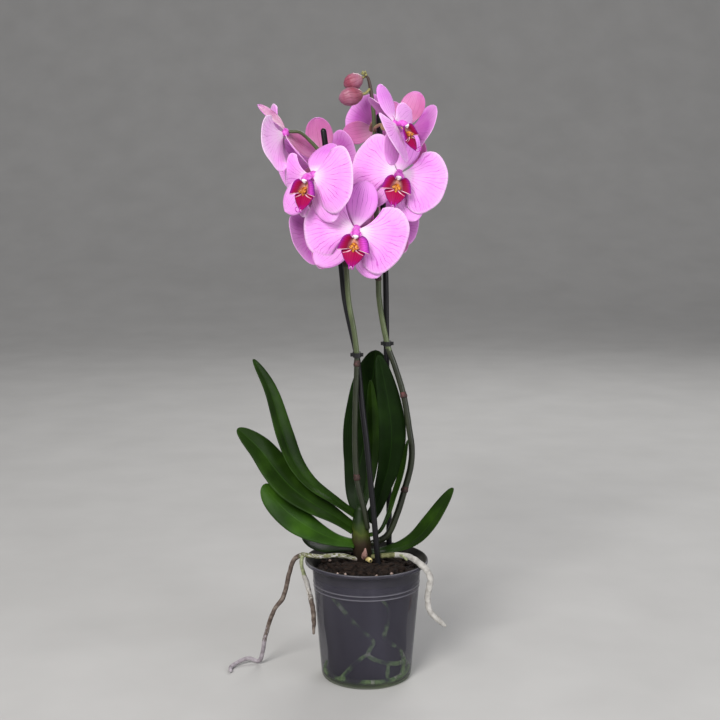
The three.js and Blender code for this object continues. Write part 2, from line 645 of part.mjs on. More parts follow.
function budGeometry({ tip, foot, width }) {
  const start = vector(foot);
  const axis = vector(tip).sub(start);
  const across = axis.clone().cross(new THREE.Vector3(0, 0, 1)).normalize();
  const up = across.clone().cross(axis).normalize();
  const beside = axis.clone().normalize().cross(up);
  const profile = [[0, 0.18], [0.12, 0.62], [0.34, 0.95], [0.58, 1], [0.8, 0.78], [0.94, 0.42], [1, 0.12]];
  const rings = profile.map(([place, share]) => Array.from({ length: BUD_SIDES }, (_, k) => {
    const turn = (2 * Math.PI * k) / BUD_SIDES;
    const radius = (width / 2) * share * (1 - (k % 3 === 0 ? 0.08 : 0));
    return start.clone().addScaledVector(axis, place)
      .addScaledVector(up, radius * Math.cos(turn))
      .addScaledVector(beside, radius * Math.sin(turn));
  }));
  return loft(rings);
}

function budStalk({ foot, tip, stalk }) {
  const way = vector(foot).sub(vector(tip)).normalize();
  const end = vector(foot).addScaledVector(way, GAP);
  const middle = vector(foot).addScaledVector(way, 2.2);
  return stemTube([stalk, middle.toArray(), end.toArray()], [1.4, 1.2, 1], 5);
}

// ---- Spikes, rods and clips ----
function spikeSolid(route, radii, joints, stalks) {
  return joined([stemTube(route, radii, 7, { joints }), ...stalks]);
}

function clipSolid(centre, passing) {
  const [x, y, z] = centre;
  const band = new THREE.Shape();
  band.absarc(0, 3.1, 4.1, 0, Math.PI);
  band.absarc(0, -3.1, 4.1, Math.PI, 2 * Math.PI);
  const settings = { depth: CLIP_HEIGHT, bevelEnabled: false, curveSegments: 4 };
  const ring = new THREE.ExtrudeGeometry(band, settings).translate(x, y, z - CLIP_HEIGHT / 2);
  const ears = [-1, 1].map((side) => {
    const ear = new THREE.BoxGeometry(2.6, 3.2, 3.2);
    return ear.translate(x + side * 4.9, y - 1, z);
  });
  return cut(joined([ring, ...ears]), passing);
}

// ---- The whole plant ----
const plant = new THREE.Group();

const stakeRoutes = { left: STAKE_LEFT_ROUTE, right: STAKE_RIGHT_ROUTE };

function stake(side, extra) {
  const route = stakeRoutes[side];
  return solidOf(stemTube(route, route.map(() => STAKE_RADIUS), 8, { extra }));
}

const spikeStalks = {
  left: [FLOWERS[0], FLOWERS[2], FLOWERS[4], FLOWERS[5]].map(flowerStalk),
  right: [FLOWERS[1], FLOWERS[6], FLOWERS[7], FLOWERS[8], FLOWERS[9]].map(flowerStalk),
};
const tipBuds = [ball([-2.8, 5, 583], [1.7, 1.5, 1.9], 6, 4)];
const stemRoom = stemSolid(GAP + 0.15);
const wallRoots = wallRootSolid();
const leftRoot = cut(
  joined([stemTube(ROOT_LEFT_ROUTE, ROOT_LEFT_RADII, 6), stemTube(ROOT_BRANCH_ROUTE, ROOT_BRANCH_RADII, 6)]),
  [stemRoom],
);
const rightRoot = cut(solidOf(stemTube(ROOT_RIGHT_ROUTE, ROOT_RIGHT_RADII, 6)), [stemRoom]);

plant.add(show('pot', potSolid(), FINISH.pot));
const stakeRoom = { left: stake('left', GAP), right: stake('right', GAP) };
plant.add(show('bark_mix', cut(barkSolid(), [stemRoom, stakeRoom.left, stakeRoom.right]), FINISH.bark));
plant.add(show('pot_roots', wallRoots, FINISH.wallRoot));
plant.add(show('stem_base', stemPieces(), FINISH.stem));
plant.add(show('root_left', leftRoot, FINISH.root));
plant.add(show('root_right', rightRoot, FINISH.rootPale));

LEAVES.forEach((leaf, k) => {
  plant.add(show(`leaf_${k + 1}`, cut(solidOf(leafGeometry(leaf)), [stemRoom]), FINISH.leaf));
});

const spikeLeft = spikeSolid(SPIKE_LEFT_ROUTE, SPIKE_LEFT_RADII, SPIKE_LEFT_JOINTS, spikeStalks.left);
const spikeRight = spikeSolid(SPIKE_RIGHT_ROUTE, SPIKE_RIGHT_RADII, SPIKE_RIGHT_JOINTS, [
  ...spikeStalks.right, ...BUDS.map(budStalk), ...tipBuds,
]);
plant.add(show('spike_left', cut(spikeLeft, [stemRoom]), FINISH.spike));
plant.add(show('spike_right', cut(spikeRight, [stemRoom]), FINISH.spike));
plant.add(show('stake_left', stake('left', 0), FINISH.stake));
plant.add(show('stake_right', stake('right', 0), FINISH.stake));

const spikeRoom = {
  left: solidOf(stemTube(SPIKE_LEFT_ROUTE, SPIKE_LEFT_RADII, 7, { extra: GAP })),
  right: solidOf(stemTube(SPIKE_RIGHT_ROUTE, SPIKE_RIGHT_RADII, 7, { extra: GAP })),
};
const clips = { left: [-9.3, -2.8, 319], right: [19.9, 14.9, 327.5] };
Object.entries(clips).forEach(([side, centre]) => {
  plant.add(show(`clip_${side}`, clipSolid(centre, [spikeRoom[side], stakeRoom[side]]), FINISH.clip));
});

const lip = lipSolid();
FLOWERS.forEach((flower, k) => {
  const number = String(k + 1).padStart(2, '0');
  const group = flowerGroup(flower);
  group.add(show(`bloom_${number}`, bloomSolid(flower), FINISH.petal));
  group.add(show(`lip_${number}`, lip, FINISH.lip));
  plant.add(group);
});

BUDS.forEach((bud, k) => {
  plant.add(show(`bud_${k + 1}`, solidOf(budGeometry(bud)), FINISH.bud));
});

export default plant;
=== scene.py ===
import functools
import math
import random

import bmesh
import bpy
import numpy as np
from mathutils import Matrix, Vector


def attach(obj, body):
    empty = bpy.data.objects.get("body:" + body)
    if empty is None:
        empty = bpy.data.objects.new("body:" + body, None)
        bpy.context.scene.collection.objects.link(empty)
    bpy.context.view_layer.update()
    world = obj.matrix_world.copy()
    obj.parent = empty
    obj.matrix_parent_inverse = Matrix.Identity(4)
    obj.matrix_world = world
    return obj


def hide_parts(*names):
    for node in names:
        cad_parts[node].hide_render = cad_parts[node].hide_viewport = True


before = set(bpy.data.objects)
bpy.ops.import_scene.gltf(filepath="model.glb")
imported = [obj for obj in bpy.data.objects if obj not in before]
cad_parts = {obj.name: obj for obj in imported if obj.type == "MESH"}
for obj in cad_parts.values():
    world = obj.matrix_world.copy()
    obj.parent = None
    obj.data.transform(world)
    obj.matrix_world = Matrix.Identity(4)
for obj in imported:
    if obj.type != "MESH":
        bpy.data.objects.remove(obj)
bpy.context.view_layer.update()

MM = 0.001

# ---- Sizes shared with the solids ----
POT_RADIUS = 60
POT_HEIGHT = 118.2
POT_FLOOR = 2
POT_SIDES = 128
WALL = 1.0
WALL_FOOT_RADIUS = 43.9
WALL_SLOPE = 0.083
LIP_FOOT = 112
RING_HEIGHTS = (91.5, 95.5)
# The room between the wall and the bark, where the roots lie.
ROOT_SPACE = 6.4
WALL_ROOT_RADIUS = 2.1
STAKE_RADIUS = 2.75

# Bark: a low mound just under the lip, with loose chips on it.
MOUND_TOP = 115.2
MOUND_DROP = 6.5
MOUND_RADIUS = 52
BARK_BRIM = 99
CHIP_COUNT = 200
CHIP_FIELD = 46
GOLDEN_TURN = 2.39996
STEM_CLEAR = 10
CHIP_SIZES = ((7, 15), (4, 9), (2, 4.6))
SMALL_CHIP = 0.55
GRIT_SIZE = (2.6, 2, 1.4)
PALE_GRIT = [(-27, -33), (24, -33), (19, 34), (26, 36), (33, 28), (-20, -36), (9, -40), (-36, 6)]

# Flowers, at full size. Aims are degrees round the flower's face, from its right side towards its top.
PETAL_REACH = 48
PETAL_AIMS = (180, -8)
PETAL_SPREAD = 59
DORSAL_REACH = 45
DORSAL_AIM = 87
LATERAL_REACH = 48
LATERAL_AIMS = (229, -57)
SEPAL_WIDTH = 29
SEPAL_WIDEST = 0.56
PETAL_THICKNESS = 0.9
PETAL_FOOT = 0.06
BEND_START = 14
HUB_RADIUS = 5
HUB_DEPTH = 4.2
HUB_BACK = -6
STALK_RADIUS = 1.5
STALK_LEAD = 11
LIP_THICKNESS = 1.3
LOBE_REACH = 12

# The form of a petal in mm: its hollow, how its rim curls back, how its sides droop, and its waves.
PETAL_HOLLOW = 3.6
PETAL_CURL = 2.4
PETAL_DROOP = 1.1
PETAL_WAVE = 0.9
PETAL_FRILL = 0.55

# Steps of a smooth stem between two points of its route.
SPIKE_STEPS = 8
ROOT_STEPS = 9

# Each flower: where its middle is, which way it faces in degrees (heading 0 is the front, 90 the right
# side; tilt is up), how far it is rolled, its size, and how far its left and right petals bend back.
# petals, dorsal_aim and far_sepal are aims of its own; dorsal and laterals bend its sepals; pink_ear is a
# colour, and painted_lit_back gives the backs of its petals painted light; stalk is the way of its stalk from
# the spike, and lead how far behind the knob it comes in.
FLOWERS = [
    dict(at=(-9.8, -42, 438.9), heading=2, tilt=0, roll=9, size=1.0, bend=(12, 0), petals=(176, -11),
         pink_ear=True, stalk=[(-26, -6, 452), (-22, -16, 449)]),
    dict(at=(29.4, -20, 489.4), heading=4, tilt=8, roll=13, size=0.95, bend=(18, 4), petals=(174, -5),
         stalk=[(8.2, 6.5, 492), (16, 2, 494)]),
    dict(at=(-49.4, -44, 487.8), heading=-34, tilt=4, roll=4, size=0.96, bend=(30, 0), petals=(203, -4),
         dorsal=50, dorsal_aim=98, pink_ear=True, stalk=[(-33.5, -4, 489), (-39, -16, 491)]),
    dict(at=(-76.8, -2.4, 527), heading=-104, tilt=-12, roll=10, size=0.88, bend=(-40, -16),
         petals=(182, -14), dorsal=-45, laterals=30, painted_lit_back=True, stalk=None),
    dict(at=(-42.5, 50, 502.5), heading=178, tilt=6, roll=4, size=0.92, bend=(45, 0),
         stalk=[(-36.5, -3, 500), (-30, 4, 502), (-35, 24, 504)]),
    dict(at=(-42, 16, 436), heading=-135, tilt=-15, roll=8, size=0.85, bend=(0, 0), lead=4,
         stalk=[(-23.5, -6, 436), (-32, -5.5, 441)]),
    dict(at=(26.4, -40, 534), heading=56, tilt=14, roll=-14, size=0.84, bend=(-20, 62), petals=(206, 40),
         far_sepal=8, stalk=[(7.4, 6, 529), (8, -10, 532), (13, -21, 534)]),
    dict(at=(10.5, 34, 531), heading=152, tilt=0, roll=-50, size=0.76, bend=(0, 0),
         stalk=[(7.2, 5.7, 538), (5, 13, 536)]),
    dict(at=(37.8, 55, 531.7), heading=166, tilt=-25, roll=-16, size=0.88, bend=(44, 0),
         stalk=[(7.9, 6.6, 510), (24, 6, 518), (42, 16, 526), (46, 32, 530)]),
    dict(at=(8.4, 50, 444), heading=168, tilt=0, roll=6, size=0.9, bend=(0, 0),
         stalk=[(9.6, 8.5, 436), (9.2, 16, 438), (8.8, 26, 442)]),
]

STEM_ROUTE = [(-2, 2, 97), (-3, 1, 116), (-5, 0, 134), (-6, 0, 150), (-6, 1, 166)]
STEM_RADII = [7.5, 9, 9.2, 8.2, 5.5]

# The spikes with a radius for each point of the route, the points that carry a joint, the flowers that
# hang on each, and the heights where the skin turns from dark to olive and from olive to brown.
SPIKE_LEFT = dict(
    route=[(1, -6, 150), (-1.4, -8, 164.5), (-9.2, -9, 200), (-11.1, -9, 236), (-10.6, -8, 275),
           (-9.3, -6.3, 310), (-9.4, -6, 320), (-12, -6, 342), (-17.1, -6, 371), (-19.5, -6, 405),
           (-25, -6, 446), (-33, -4, 487), (-42, -2, 507), (-53, -1.5, 520), (-62.4, -2.9, 527.6),
           (-71.4, -3.7, 528.1)],
    radii=[2.5, 2.7, 2.7, 2.6, 2.6, 2.6, 2.6, 2.5, 2.5, 2.4, 2.3, 2.1, 1.9, 1.7, 1.6, 1.5],
    joints=[2, 5, 9], flowers=[0, 2, 4, 5], skins=(318, 900),
)
SPIKE_RIGHT = dict(
    route=[(5, 6, 131), (12, 6.5, 133.5), (20, 6, 138.5), (29.5, 5, 159.7), (37, 5, 184.7), (43, 6, 208.6),
           (44, 7, 225.4), (41.5, 8, 244.2), (35.9, 9.5, 277), (27.6, 11, 305), (20.1, 11.7, 326.5),
           (12, 11, 370.4), (11.2, 10, 390.4), (9.3, 8, 446), (7.4, 6, 527), (5.8, 5, 552), (3.8, 5, 566),
           (1.2, 5, 577.4), (-1.6, 5, 581.4)],
    radii=[2.8, 3.0, 3.2, 3.2, 3.1, 3.1, 3.0, 2.9, 2.9, 2.8, 2.7, 2.6, 2.6, 2.4, 2.1, 1.9, 1.7, 1.4, 0.9],
    joints=[4, 8, 12], flowers=[1, 6, 7, 8, 9], skins=(322, 556),
)
STAKES = {
    "left": [(21.4, -10, 22), (11.4, -12, 114.5), (6.4, -12, 170), (0.2, -8.5, 233), (-4.5, -3.2, 272),
             (-7.5, -0.6, 303), (-9.2, 0.4, 317), (-20.6, 1, 370.5), (-24.3, 2, 404.7), (-40.4, 4, 529)],
    "right": [(23, 18, 22), (22.4, 18, 133), (22.2, 18, 178), (20, 18, 271), (19.3, 18, 326.5),
              (18.1, 18, 400), (11.6, 17, 543)],
}

ROOT_LEFT = [(-10, -4, 118), (-25.7, -10, 123.4), (-45.1, -9, 122), (-55.9, -6, 122), (-62, -4, 122.4),
             (-69.7, -2, 117.7), (-75.2, 2, 103.5), (-78.7, 6, 87.5), (-82.9, 9, 73.6), (-90.3, 12, 62.9),
             (-96.2, 16, 48), (-101.4, 19, 29.2), (-108.2, 24, 3.4), (-119, 25, 5.6), (-134.6, 11, 2.5),
             (-134.4, 0, 2.4)]
ROOT_LEFT_RADII = [2.2, 2.3, 2.2, 2.2, 2.4, 2.2, 2.2, 2.2, 2.3, 2.1, 2.1, 2.1, 2.1, 2.0, 2.0, 1.6]
ROOT_BRANCH = [(-62, -4, 122), (-63.2, -8.6, 116.5), (-61.8, -10, 108), (-58.2, -10, 96.5),
               (-55.3, -10, 84.6), (-52, -11, 68.8), (-51.2, -12, 56.5), (-51.6, -12, 45.5)]
ROOT_BRANCH_RADII = [2.0, 1.9, 1.8, 2.6, 2.4, 2.4, 2.1, 1.2]
ROOT_RIGHT = [(4, -2, 119.5), (13, -7, 122), (22, -10.5, 123.6), (30.4, -15, 125.2), (41, -22, 125.6),
              (50.2, -31, 122.2), (56.5, -35.5, 117.4), (60.6, -37.6, 109), (59.7, -38, 101.5),
              (58.1, -37, 90.7), (60.4, -37, 76.8), (69.6, -38, 67.3), (74.9, -39, 63)]
ROOT_RIGHT_RADII = [2.2, 2.4, 2.6, 2.7, 2.9, 3.1, 3.1, 3.0, 2.9, 2.9, 2.8, 2.6, 1.6]

# Roots on the inside of the wall: turns round the pot in degrees (-90 is the front) and heights.
WALL_ROOTS = [
    [(-196, 8), (-170, 6.6), (-141, 6.6), (-118, 7.6), (-91, 7.4), (-66, 6.6), (-41, 6.8), (-10, 8), (20, 7),
     (50, 7)],
    [(-72, 90), (-64, 81), (-65, 64), (-68, 51), (-52, 41), (-38, 31), (-31, 20), (-34, 7)],
    [(-134, 90), (-122, 82), (-98, 61), (-82, 49), (-88, 36), (-79, 30), (-62, 25), (-46, 22), (-31, 21)],
    [(-87, 37), (-101, 29), (-119, 14), (-128, 7)],
    [(-60, 25), (-61, 15), (-61, 7)],
    [(150, 90), (128, 68), (100, 45), (72, 24), (44, 7)],
    [(30, 88), (20, 66), (38, 48), (62, 36), (84, 33)],
]

# Leaves: the route of the midrib, the width, which way the upper face looks at the foot and at the tip,
# the fold in degrees, how blunt the tip is, the width of the foot as a share, and painted light on the green:
# dark for painted shade, bright for a painted highlight.
LEAVES = [
    dict(route=[(-11, 1, 160), (-31.6, 2, 174.4), (-55, 3, 191.2), (-70, 3, 211), (-80.5, 3, 238),
                (-94, 4, 284),
                (-109, 5, 313.5)],
         width=30, face_foot=(0.5, -0.5, 0.75), face_tip=(0.75, -0.62, 0.3), fold=16, blunt=2.4),
    dict(route=[(-13, 0, 146.5), (-31, 0, 159), (-54, -1, 173.5), (-75, -1, 190), (-90, -1, 208),
                (-104, -1, 227), (-124.5, 0, 246.5)],
         width=45, face_foot=(0.4, -0.55, 0.75), face_tip=(0.45, -0.75, 0.5), fold=12, blunt=2.3),
    dict(route=[(-12, -3, 133), (-31, -6, 138), (-53, -8, 148.5), (-72, -9.5, 162), (-88.5, -10, 178.5),
                (-99.5, -10, 193.5)],
         width=31, face_foot=(0.2, -0.6, 0.8), face_tip=(0.3, -0.85, 0.5), fold=4, blunt=6, painted_light="bright"),
    dict(route=[(-10, 6, 124), (-24, 13, 124), (-40, 19, 125), (-53, 22, 128.5), (-64, 23, 135)],
         width=26, face_foot=(0.2, -0.4, 0.9), face_tip=(0.2, -0.55, 0.8), fold=10, blunt=5),
    dict(route=[(-7, 8, 158), (-11, 21, 178), (-5, 29, 212), (2, 31, 250), (5, 32, 282), (8, 31, 306),
                (9, 29, 319)],
         width=51, face_foot=(-0.2, -1, 0.2), face_tip=(0.1, -1, 0), fold=8, blunt=4, foot=0.26, painted_light="dark"),
    dict(route=[(1, 3, 154), (9, 7, 166), (16, 9, 188), (22, 10, 212), (24, 10, 240), (21, 10, 268),
                (16, 10, 295), (11, 9, 317)],
         width=33, face_foot=(0.2, -0.9, 0.3), face_tip=(0.5, -0.85, 0), fold=14, blunt=3, painted_light="dark"),
    dict(route=[(-4, 4, 166), (0, 9, 178), (4, 14, 196), (6, 18, 221), (6, 20, 250), (5, 21, 275),
                (4, 20, 291)],
         width=17, face_foot=(0, -1, 0.3), face_tip=(0, -1, 0), fold=25, blunt=3),
    dict(route=[(3, -1, 141), (12, -2, 144), (21, -3, 160), (28, -3, 182), (35.4, -3, 207), (40, -2, 236)],
         width=17, face_foot=(-0.8, -0.2, 0.5), face_tip=(-0.9, -0.3, 0.2), fold=12, blunt=3),
    dict(route=[(4, 5, 121.5), (20, 8, 123), (36, 8, 127), (50, 6, 136), (61.5, 4, 149.5), (73, 3, 167.5),
                (84.4, 2, 187.5)],
         width=27, face_foot=(-0.1, -0.3, 1), face_tip=(-0.6, -0.6, 0.5), fold=16, blunt=2.4),
]

BUDS = [
    dict(tip=(-21.4, 10, 570.6), foot=(-3.8, 7.6, 578.2), width=16, stalk=(-0.6, 5, 580.4)),
    dict(tip=(-26, -3.2, 557.8), foot=(-3.6, 1.2, 562.8), width=17.4, stalk=(3.4, 5, 568)),
]
# The knob of unopened buds at the very tip: x, height and size of each.
TIP_KNOBS = ((-2.8, 582.4, 1.3), (-0.8, 583, 0.9), (-4, 581.6, 0.8))


# ---- Materials ----
def linear(hex_colour):
    """An sRGB hex colour as the linear colour that a shader takes."""
    parts = [int(hex_colour[i:i + 2], 16) / 255 for i in (1, 3, 5)]
    return [p / 12.92 if p <= 0.04045 else ((p + 0.055) / 1.055) ** 2.4 for p in parts] + [1.0]


def put(tree, kind, inputs=None, stops=None, **settings):
    """Adds one shader node. inputs are values, sockets, or nodes that give their first output, by name or
    number; stops are a colour ramp's."""
    node = tree.nodes.new("ShaderNode" + kind)
    for name, value in settings.items():
        setattr(node, name, value)
    for key, value in (inputs or {}).items():
        if isinstance(value, bpy.types.Node):
            value = value.outputs[0]
        if isinstance(value, bpy.types.NodeSocket):
            tree.links.new(value, node.inputs[key])
        else:
            node.inputs[key].default_value = value
    if stops:
        ramp = node.color_ramp
        while len(ramp.elements) < len(stops):
            ramp.elements.new(0.5)
        for element, (place, colour) in zip(ramp.elements, stops):
            element.position = place
            element.color = linear(colour)
    return node


def new_material(name):
    """A bare material, and put bound to its tree."""
    material = bpy.data.materials.new(name)
    material.use_nodes = True
    material.node_tree.nodes.clear()
    return material, functools.partial(put, material.node_tree)


def per_mm(size):
    """The scale of a pattern of a size in mm, since patterns are laid in the object's own metres."""
    return 1000 / size


# Sizes of the patterns in mm, from one swing or grain to the next.
VEIN_DRIFT = 14
VEIN_PATCH = 9
PETAL_CLOUD = 22
# Real petal cells are ten times finer. They are drawn this coarse so that they show.
PETAL_CELL = 0.6
LIP_PATCH = 3
LIP_GRAIN = 0.8
LEAF_CLOUD = 30
LEAF_DRIFT = 40
LEAF_PORES = 1.4
LEAF_DULL = 12
SHEATH_PATCH = 9
SHEATH_FIBRE = 1.6
POT_CLOUD = 16
POT_SCUFF = 2.2
# Where along a petal its first veins start, and where they fork and fork again.
VEIN_STARTS = (0.06, 0.42, 0.74)
# Lines across the lip, 1.5 to 2.4 mm apart, and across a leaf of 40 mm, 1.5 mm apart.
LIP_LINES = 9.0
LEAF_LINES = 26.0


def petal_finish(name, ramp, vein_colour, vein_strength, bands, roughness):
    """Living petal: soft cells, so it is satin and a little see-through, with veins that branch outward."""
    material, add = new_material(name)
    uv = add("UVMap", uv_map="petal")
    place = add("SeparateXYZ", {0: uv})
    here = add("TexCoord").outputs["Object"]
    drift = add("TexNoise", {"Vector": here, "Scale": per_mm(VEIN_DRIFT), "Detail": 3.0})
    nudge = add("Math", {0: drift, 1: 0.13}, operation="MULTIPLY")
    turn = add("Math", {0: place.outputs["X"], 1: nudge}, operation="ADD")
    veins = None
    for level, start in enumerate(VEIN_STARTS):
        count = bands * 2 ** level
        spread = add("Math", {0: turn, 1: float(count)}, operation="MULTIPLY")
        swing = add("Math", {0: spread, 1: 0.5}, operation="PINGPONG")
        line = add("MapRange", {
            "Value": swing, "From Min": 0.0, "From Max": 0.075 + 0.015 * count / bands,
            "To Min": 1.0, "To Max": 0.0})
        shown = add("MapRange", {
            "Value": place.outputs["Y"], "From Min": start, "From Max": start + 0.16,
            "To Min": 0.0, "To Max": 1.0})
        mask = add("Math", {0: line, 1: shown}, operation="MULTIPLY")
        veins = mask if veins is None else add("Math", {0: veins, 1: mask}, operation="MAXIMUM")
    # Veins fade at the rim and show in stretches.
    fade = add("MapRange", {
        "Value": place.outputs["Y"], "From Min": 0.78, "From Max": 1.0, "To Min": 1.0, "To Max": 0.25})
    patch = add("TexNoise", {"Vector": here, "Scale": per_mm(VEIN_PATCH), "Detail": 3.0})
    uneven = add("MapRange", {
        "Value": patch, "From Min": 0.38, "From Max": 0.6, "To Min": 0.25, "To Max": 1.0})
    seen = add("Math", {0: veins, 1: fade}, operation="MULTIPLY")
    strength = add("Math", {0: seen, 1: uneven}, operation="MULTIPLY")
    amount = add("Math", {0: strength, 1: vein_strength}, operation="MULTIPLY")
    ground = add("ValToRGB", {0: place.outputs["Y"]}, stops=ramp)
    cloud = add("TexNoise", {"Vector": here, "Scale": per_mm(PETAL_CLOUD), "Detail": 2.0})
    lighter = add("MapRange", {
        "Value": cloud, "From Min": 0.35, "From Max": 0.75, "To Min": 0.0, "To Max": 0.22})
    clouded = add("Mix", {0: lighter, 6: ground, 7: linear("#fdd6fb")}, data_type="RGBA")
    tinted = add("Mix", {0: amount, 6: clouded.outputs[2], 7: linear(vein_colour)}, data_type="RGBA")
    # Cells stand up and veins lie a little sunk.
    cells = add("TexVoronoi", {"Vector": here, "Scale": per_mm(PETAL_CELL)})
    low = add("Math", {0: veins, 1: -1.2, 2: cells}, operation="MULTIPLY_ADD")
    relief = add("Bump", {"Strength": 0.22, "Distance": 0.0003, "Height": low})
    shader = add("BsdfPrincipled", {
        "Base Color": tinted.outputs[2], "Roughness": roughness, "Normal": relief,
        "Specular IOR Level": 0.32, "Subsurface Weight": 0.22, "Subsurface Radius": (0.004, 0.002, 0.004),
        "Subsurface Scale": 0.5, "Sheen Weight": 0.12, "Sheen Roughness": 0.4})
    add("OutputMaterial", {"Surface": shader})
    return material


def skin_finish(name, ramp, size, roughness, bump, coat=0.0, spec=0.4, stretch=(1, 1, 1), subsurface=0.0):
    """Plant skin, bark or plastic: a mottled colour of a size in mm, with a relief five times finer."""
    material, add = new_material(name)
    here = add("TexCoord").outputs["Object"]
    laid = add("Mapping", {"Vector": here, "Scale": stretch})
    mottle = add("TexNoise", {"Vector": laid, "Scale": per_mm(size), "Detail": 5.0, "Roughness": 0.62})
    ground = add("ValToRGB", {0: mottle}, stops=ramp)
    grain = add("TexNoise", {"Vector": laid, "Scale": per_mm(size / 5), "Detail": 4.0, "Roughness": 0.6})
    gloss = add("MapRange", {
        "Value": grain, "From Min": 0.3, "From Max": 0.7,
        "To Min": roughness - 0.08, "To Max": roughness + 0.1})
    relief = add("Bump", {"Strength": bump, "Distance": 0.0006, "Height": grain})
    shader = add("BsdfPrincipled", {
        "Base Color": ground, "Roughness": gloss, "Normal": relief,
        "Specular IOR Level": spec, "Coat Weight": coat, "Coat Roughness": 0.18,
        "Subsurface Weight": subsurface, "Subsurface Radius": (0.003, 0.002, 0.001), "Subsurface Scale": 0.5})
    add("OutputMaterial", {"Surface": shader})
    return material


def lip_finish(name, ramp, rim_colour):
    """Thick fleshy lip: velvety crimson that runs to a violet rim, with fine darker lines along it."""
    material, add = new_material(name)
    uv = add("UVMap", uv_map="petal")
    place = add("SeparateXYZ", {0: uv})
    here = add("TexCoord").outputs["Object"]
    patch = add("TexNoise", {"Vector": here, "Scale": per_mm(LIP_PATCH), "Detail": 4.0})
    spot = add("Math", {0: patch, 1: 0.2, 2: place.outputs["Y"]}, operation="MULTIPLY_ADD")
    run = add("Math", {0: spot, 1: 0.1}, operation="SUBTRACT")
    ground = add("ValToRGB", {0: run}, stops=ramp)
    spread = add("Math", {0: place.outputs["X"], 1: LIP_LINES}, operation="MULTIPLY")
    swing = add("Math", {0: spread, 1: 0.5}, operation="PINGPONG")
    lines = add("MapRange", {
        "Value": swing, "From Min": 0.0, "From Max": 0.2, "To Min": 0.45, "To Max": 0.0})
    lined = add("Mix", {0: lines, 6: ground, 7: linear("#6e0a30")}, data_type="RGBA")
    offset = add("Math", {0: place.outputs["X"], 1: 0.5}, operation="SUBTRACT")
    aside = add("Math", {0: offset}, operation="ABSOLUTE")
    rim = add("MapRange", {
        "Value": aside, "From Min": 0.42, "From Max": 0.5, "To Min": 0.0, "To Max": 0.75})
    rimmed = add("Mix", {0: rim, 6: lined.outputs[2], 7: linear(rim_colour)}, data_type="RGBA")
    grain = add("TexNoise", {"Vector": here, "Scale": per_mm(LIP_GRAIN), "Detail": 2.0})
    relief = add("Bump", {"Strength": 0.25, "Distance": 0.0003, "Height": grain})
    shader = add("BsdfPrincipled", {
        "Base Color": rimmed.outputs[2], "Roughness": 0.5, "Normal": relief, "Specular IOR Level": 0.06})
    add("OutputMaterial", {"Surface": shader})
    return material


def leaf_finish(name, ramp, vein_colour, roughness, coat, spec=0.1):
    """Thick waxy leaf: a glossy skin over dark green, with fine lines that run from foot to tip."""
    material, add = new_material(name)
    uv = add("UVMap", uv_map="petal")
    place = add("SeparateXYZ", {0: uv})
    here = add("TexCoord").outputs["Object"]
    cloud = add("TexNoise", {"Vector": here, "Scale": per_mm(LEAF_CLOUD), "Detail": 4.0})
    ground = add("ValToRGB", {0: cloud}, stops=ramp)
    drift = add("TexNoise", {"Vector": here, "Scale": per_mm(LEAF_DRIFT), "Detail": 1.0})
    turn = add("Math", {0: drift, 1: 0.05, 2: place.outputs["X"]}, operation="MULTIPLY_ADD")
    spread = add("Math", {0: turn, 1: LEAF_LINES}, operation="MULTIPLY")
    swing = add("Math", {0: spread, 1: 0.5}, operation="PINGPONG")
    lines = add("MapRange", {
        "Value": swing, "From Min": 0.0, "From Max": 0.3, "To Min": 0.28, "To Max": 0.0})
    # The midrib, 1 to 2 mm wide, is paler and sunk like the lines.
    offset = add("Math", {0: place.outputs["X"], 1: 0.5}, operation="SUBTRACT")
    aside = add("Math", {0: offset}, operation="ABSOLUTE")
    rib = add("MapRange", {
        "Value": aside, "From Min": 0.0, "From Max": 0.028, "To Min": 0.55, "To Max": 0.0})
    marks = add("Math", {0: lines, 1: rib}, operation="MAXIMUM")
    lined = add("Mix", {0: marks, 6: ground, 7: linear(vein_colour)}, data_type="RGBA")
    skin = add("TexNoise", {"Vector": here, "Scale": per_mm(LEAF_PORES), "Detail": 3.0})
    height = add("Math", {0: marks, 1: -2.2, 2: skin}, operation="MULTIPLY_ADD")
    relief = add("Bump", {"Strength": 0.16, "Distance": 0.0005, "Height": height})
    dull = add("TexNoise", {"Vector": here, "Scale": per_mm(LEAF_DULL), "Detail": 4.0})
    gloss = add("MapRange", {
        "Value": dull, "From Min": 0.3, "From Max": 0.7,
        "To Min": roughness - 0.06, "To Max": roughness + 0.1})
    shader = add("BsdfPrincipled", {
        "Base Color": lined.outputs[2], "Roughness": gloss, "Normal": relief,
        "Specular IOR Level": spec, "Coat Weight": coat, "Coat Roughness": 0.24})
    add("OutputMaterial", {"Surface": shader})
    return material


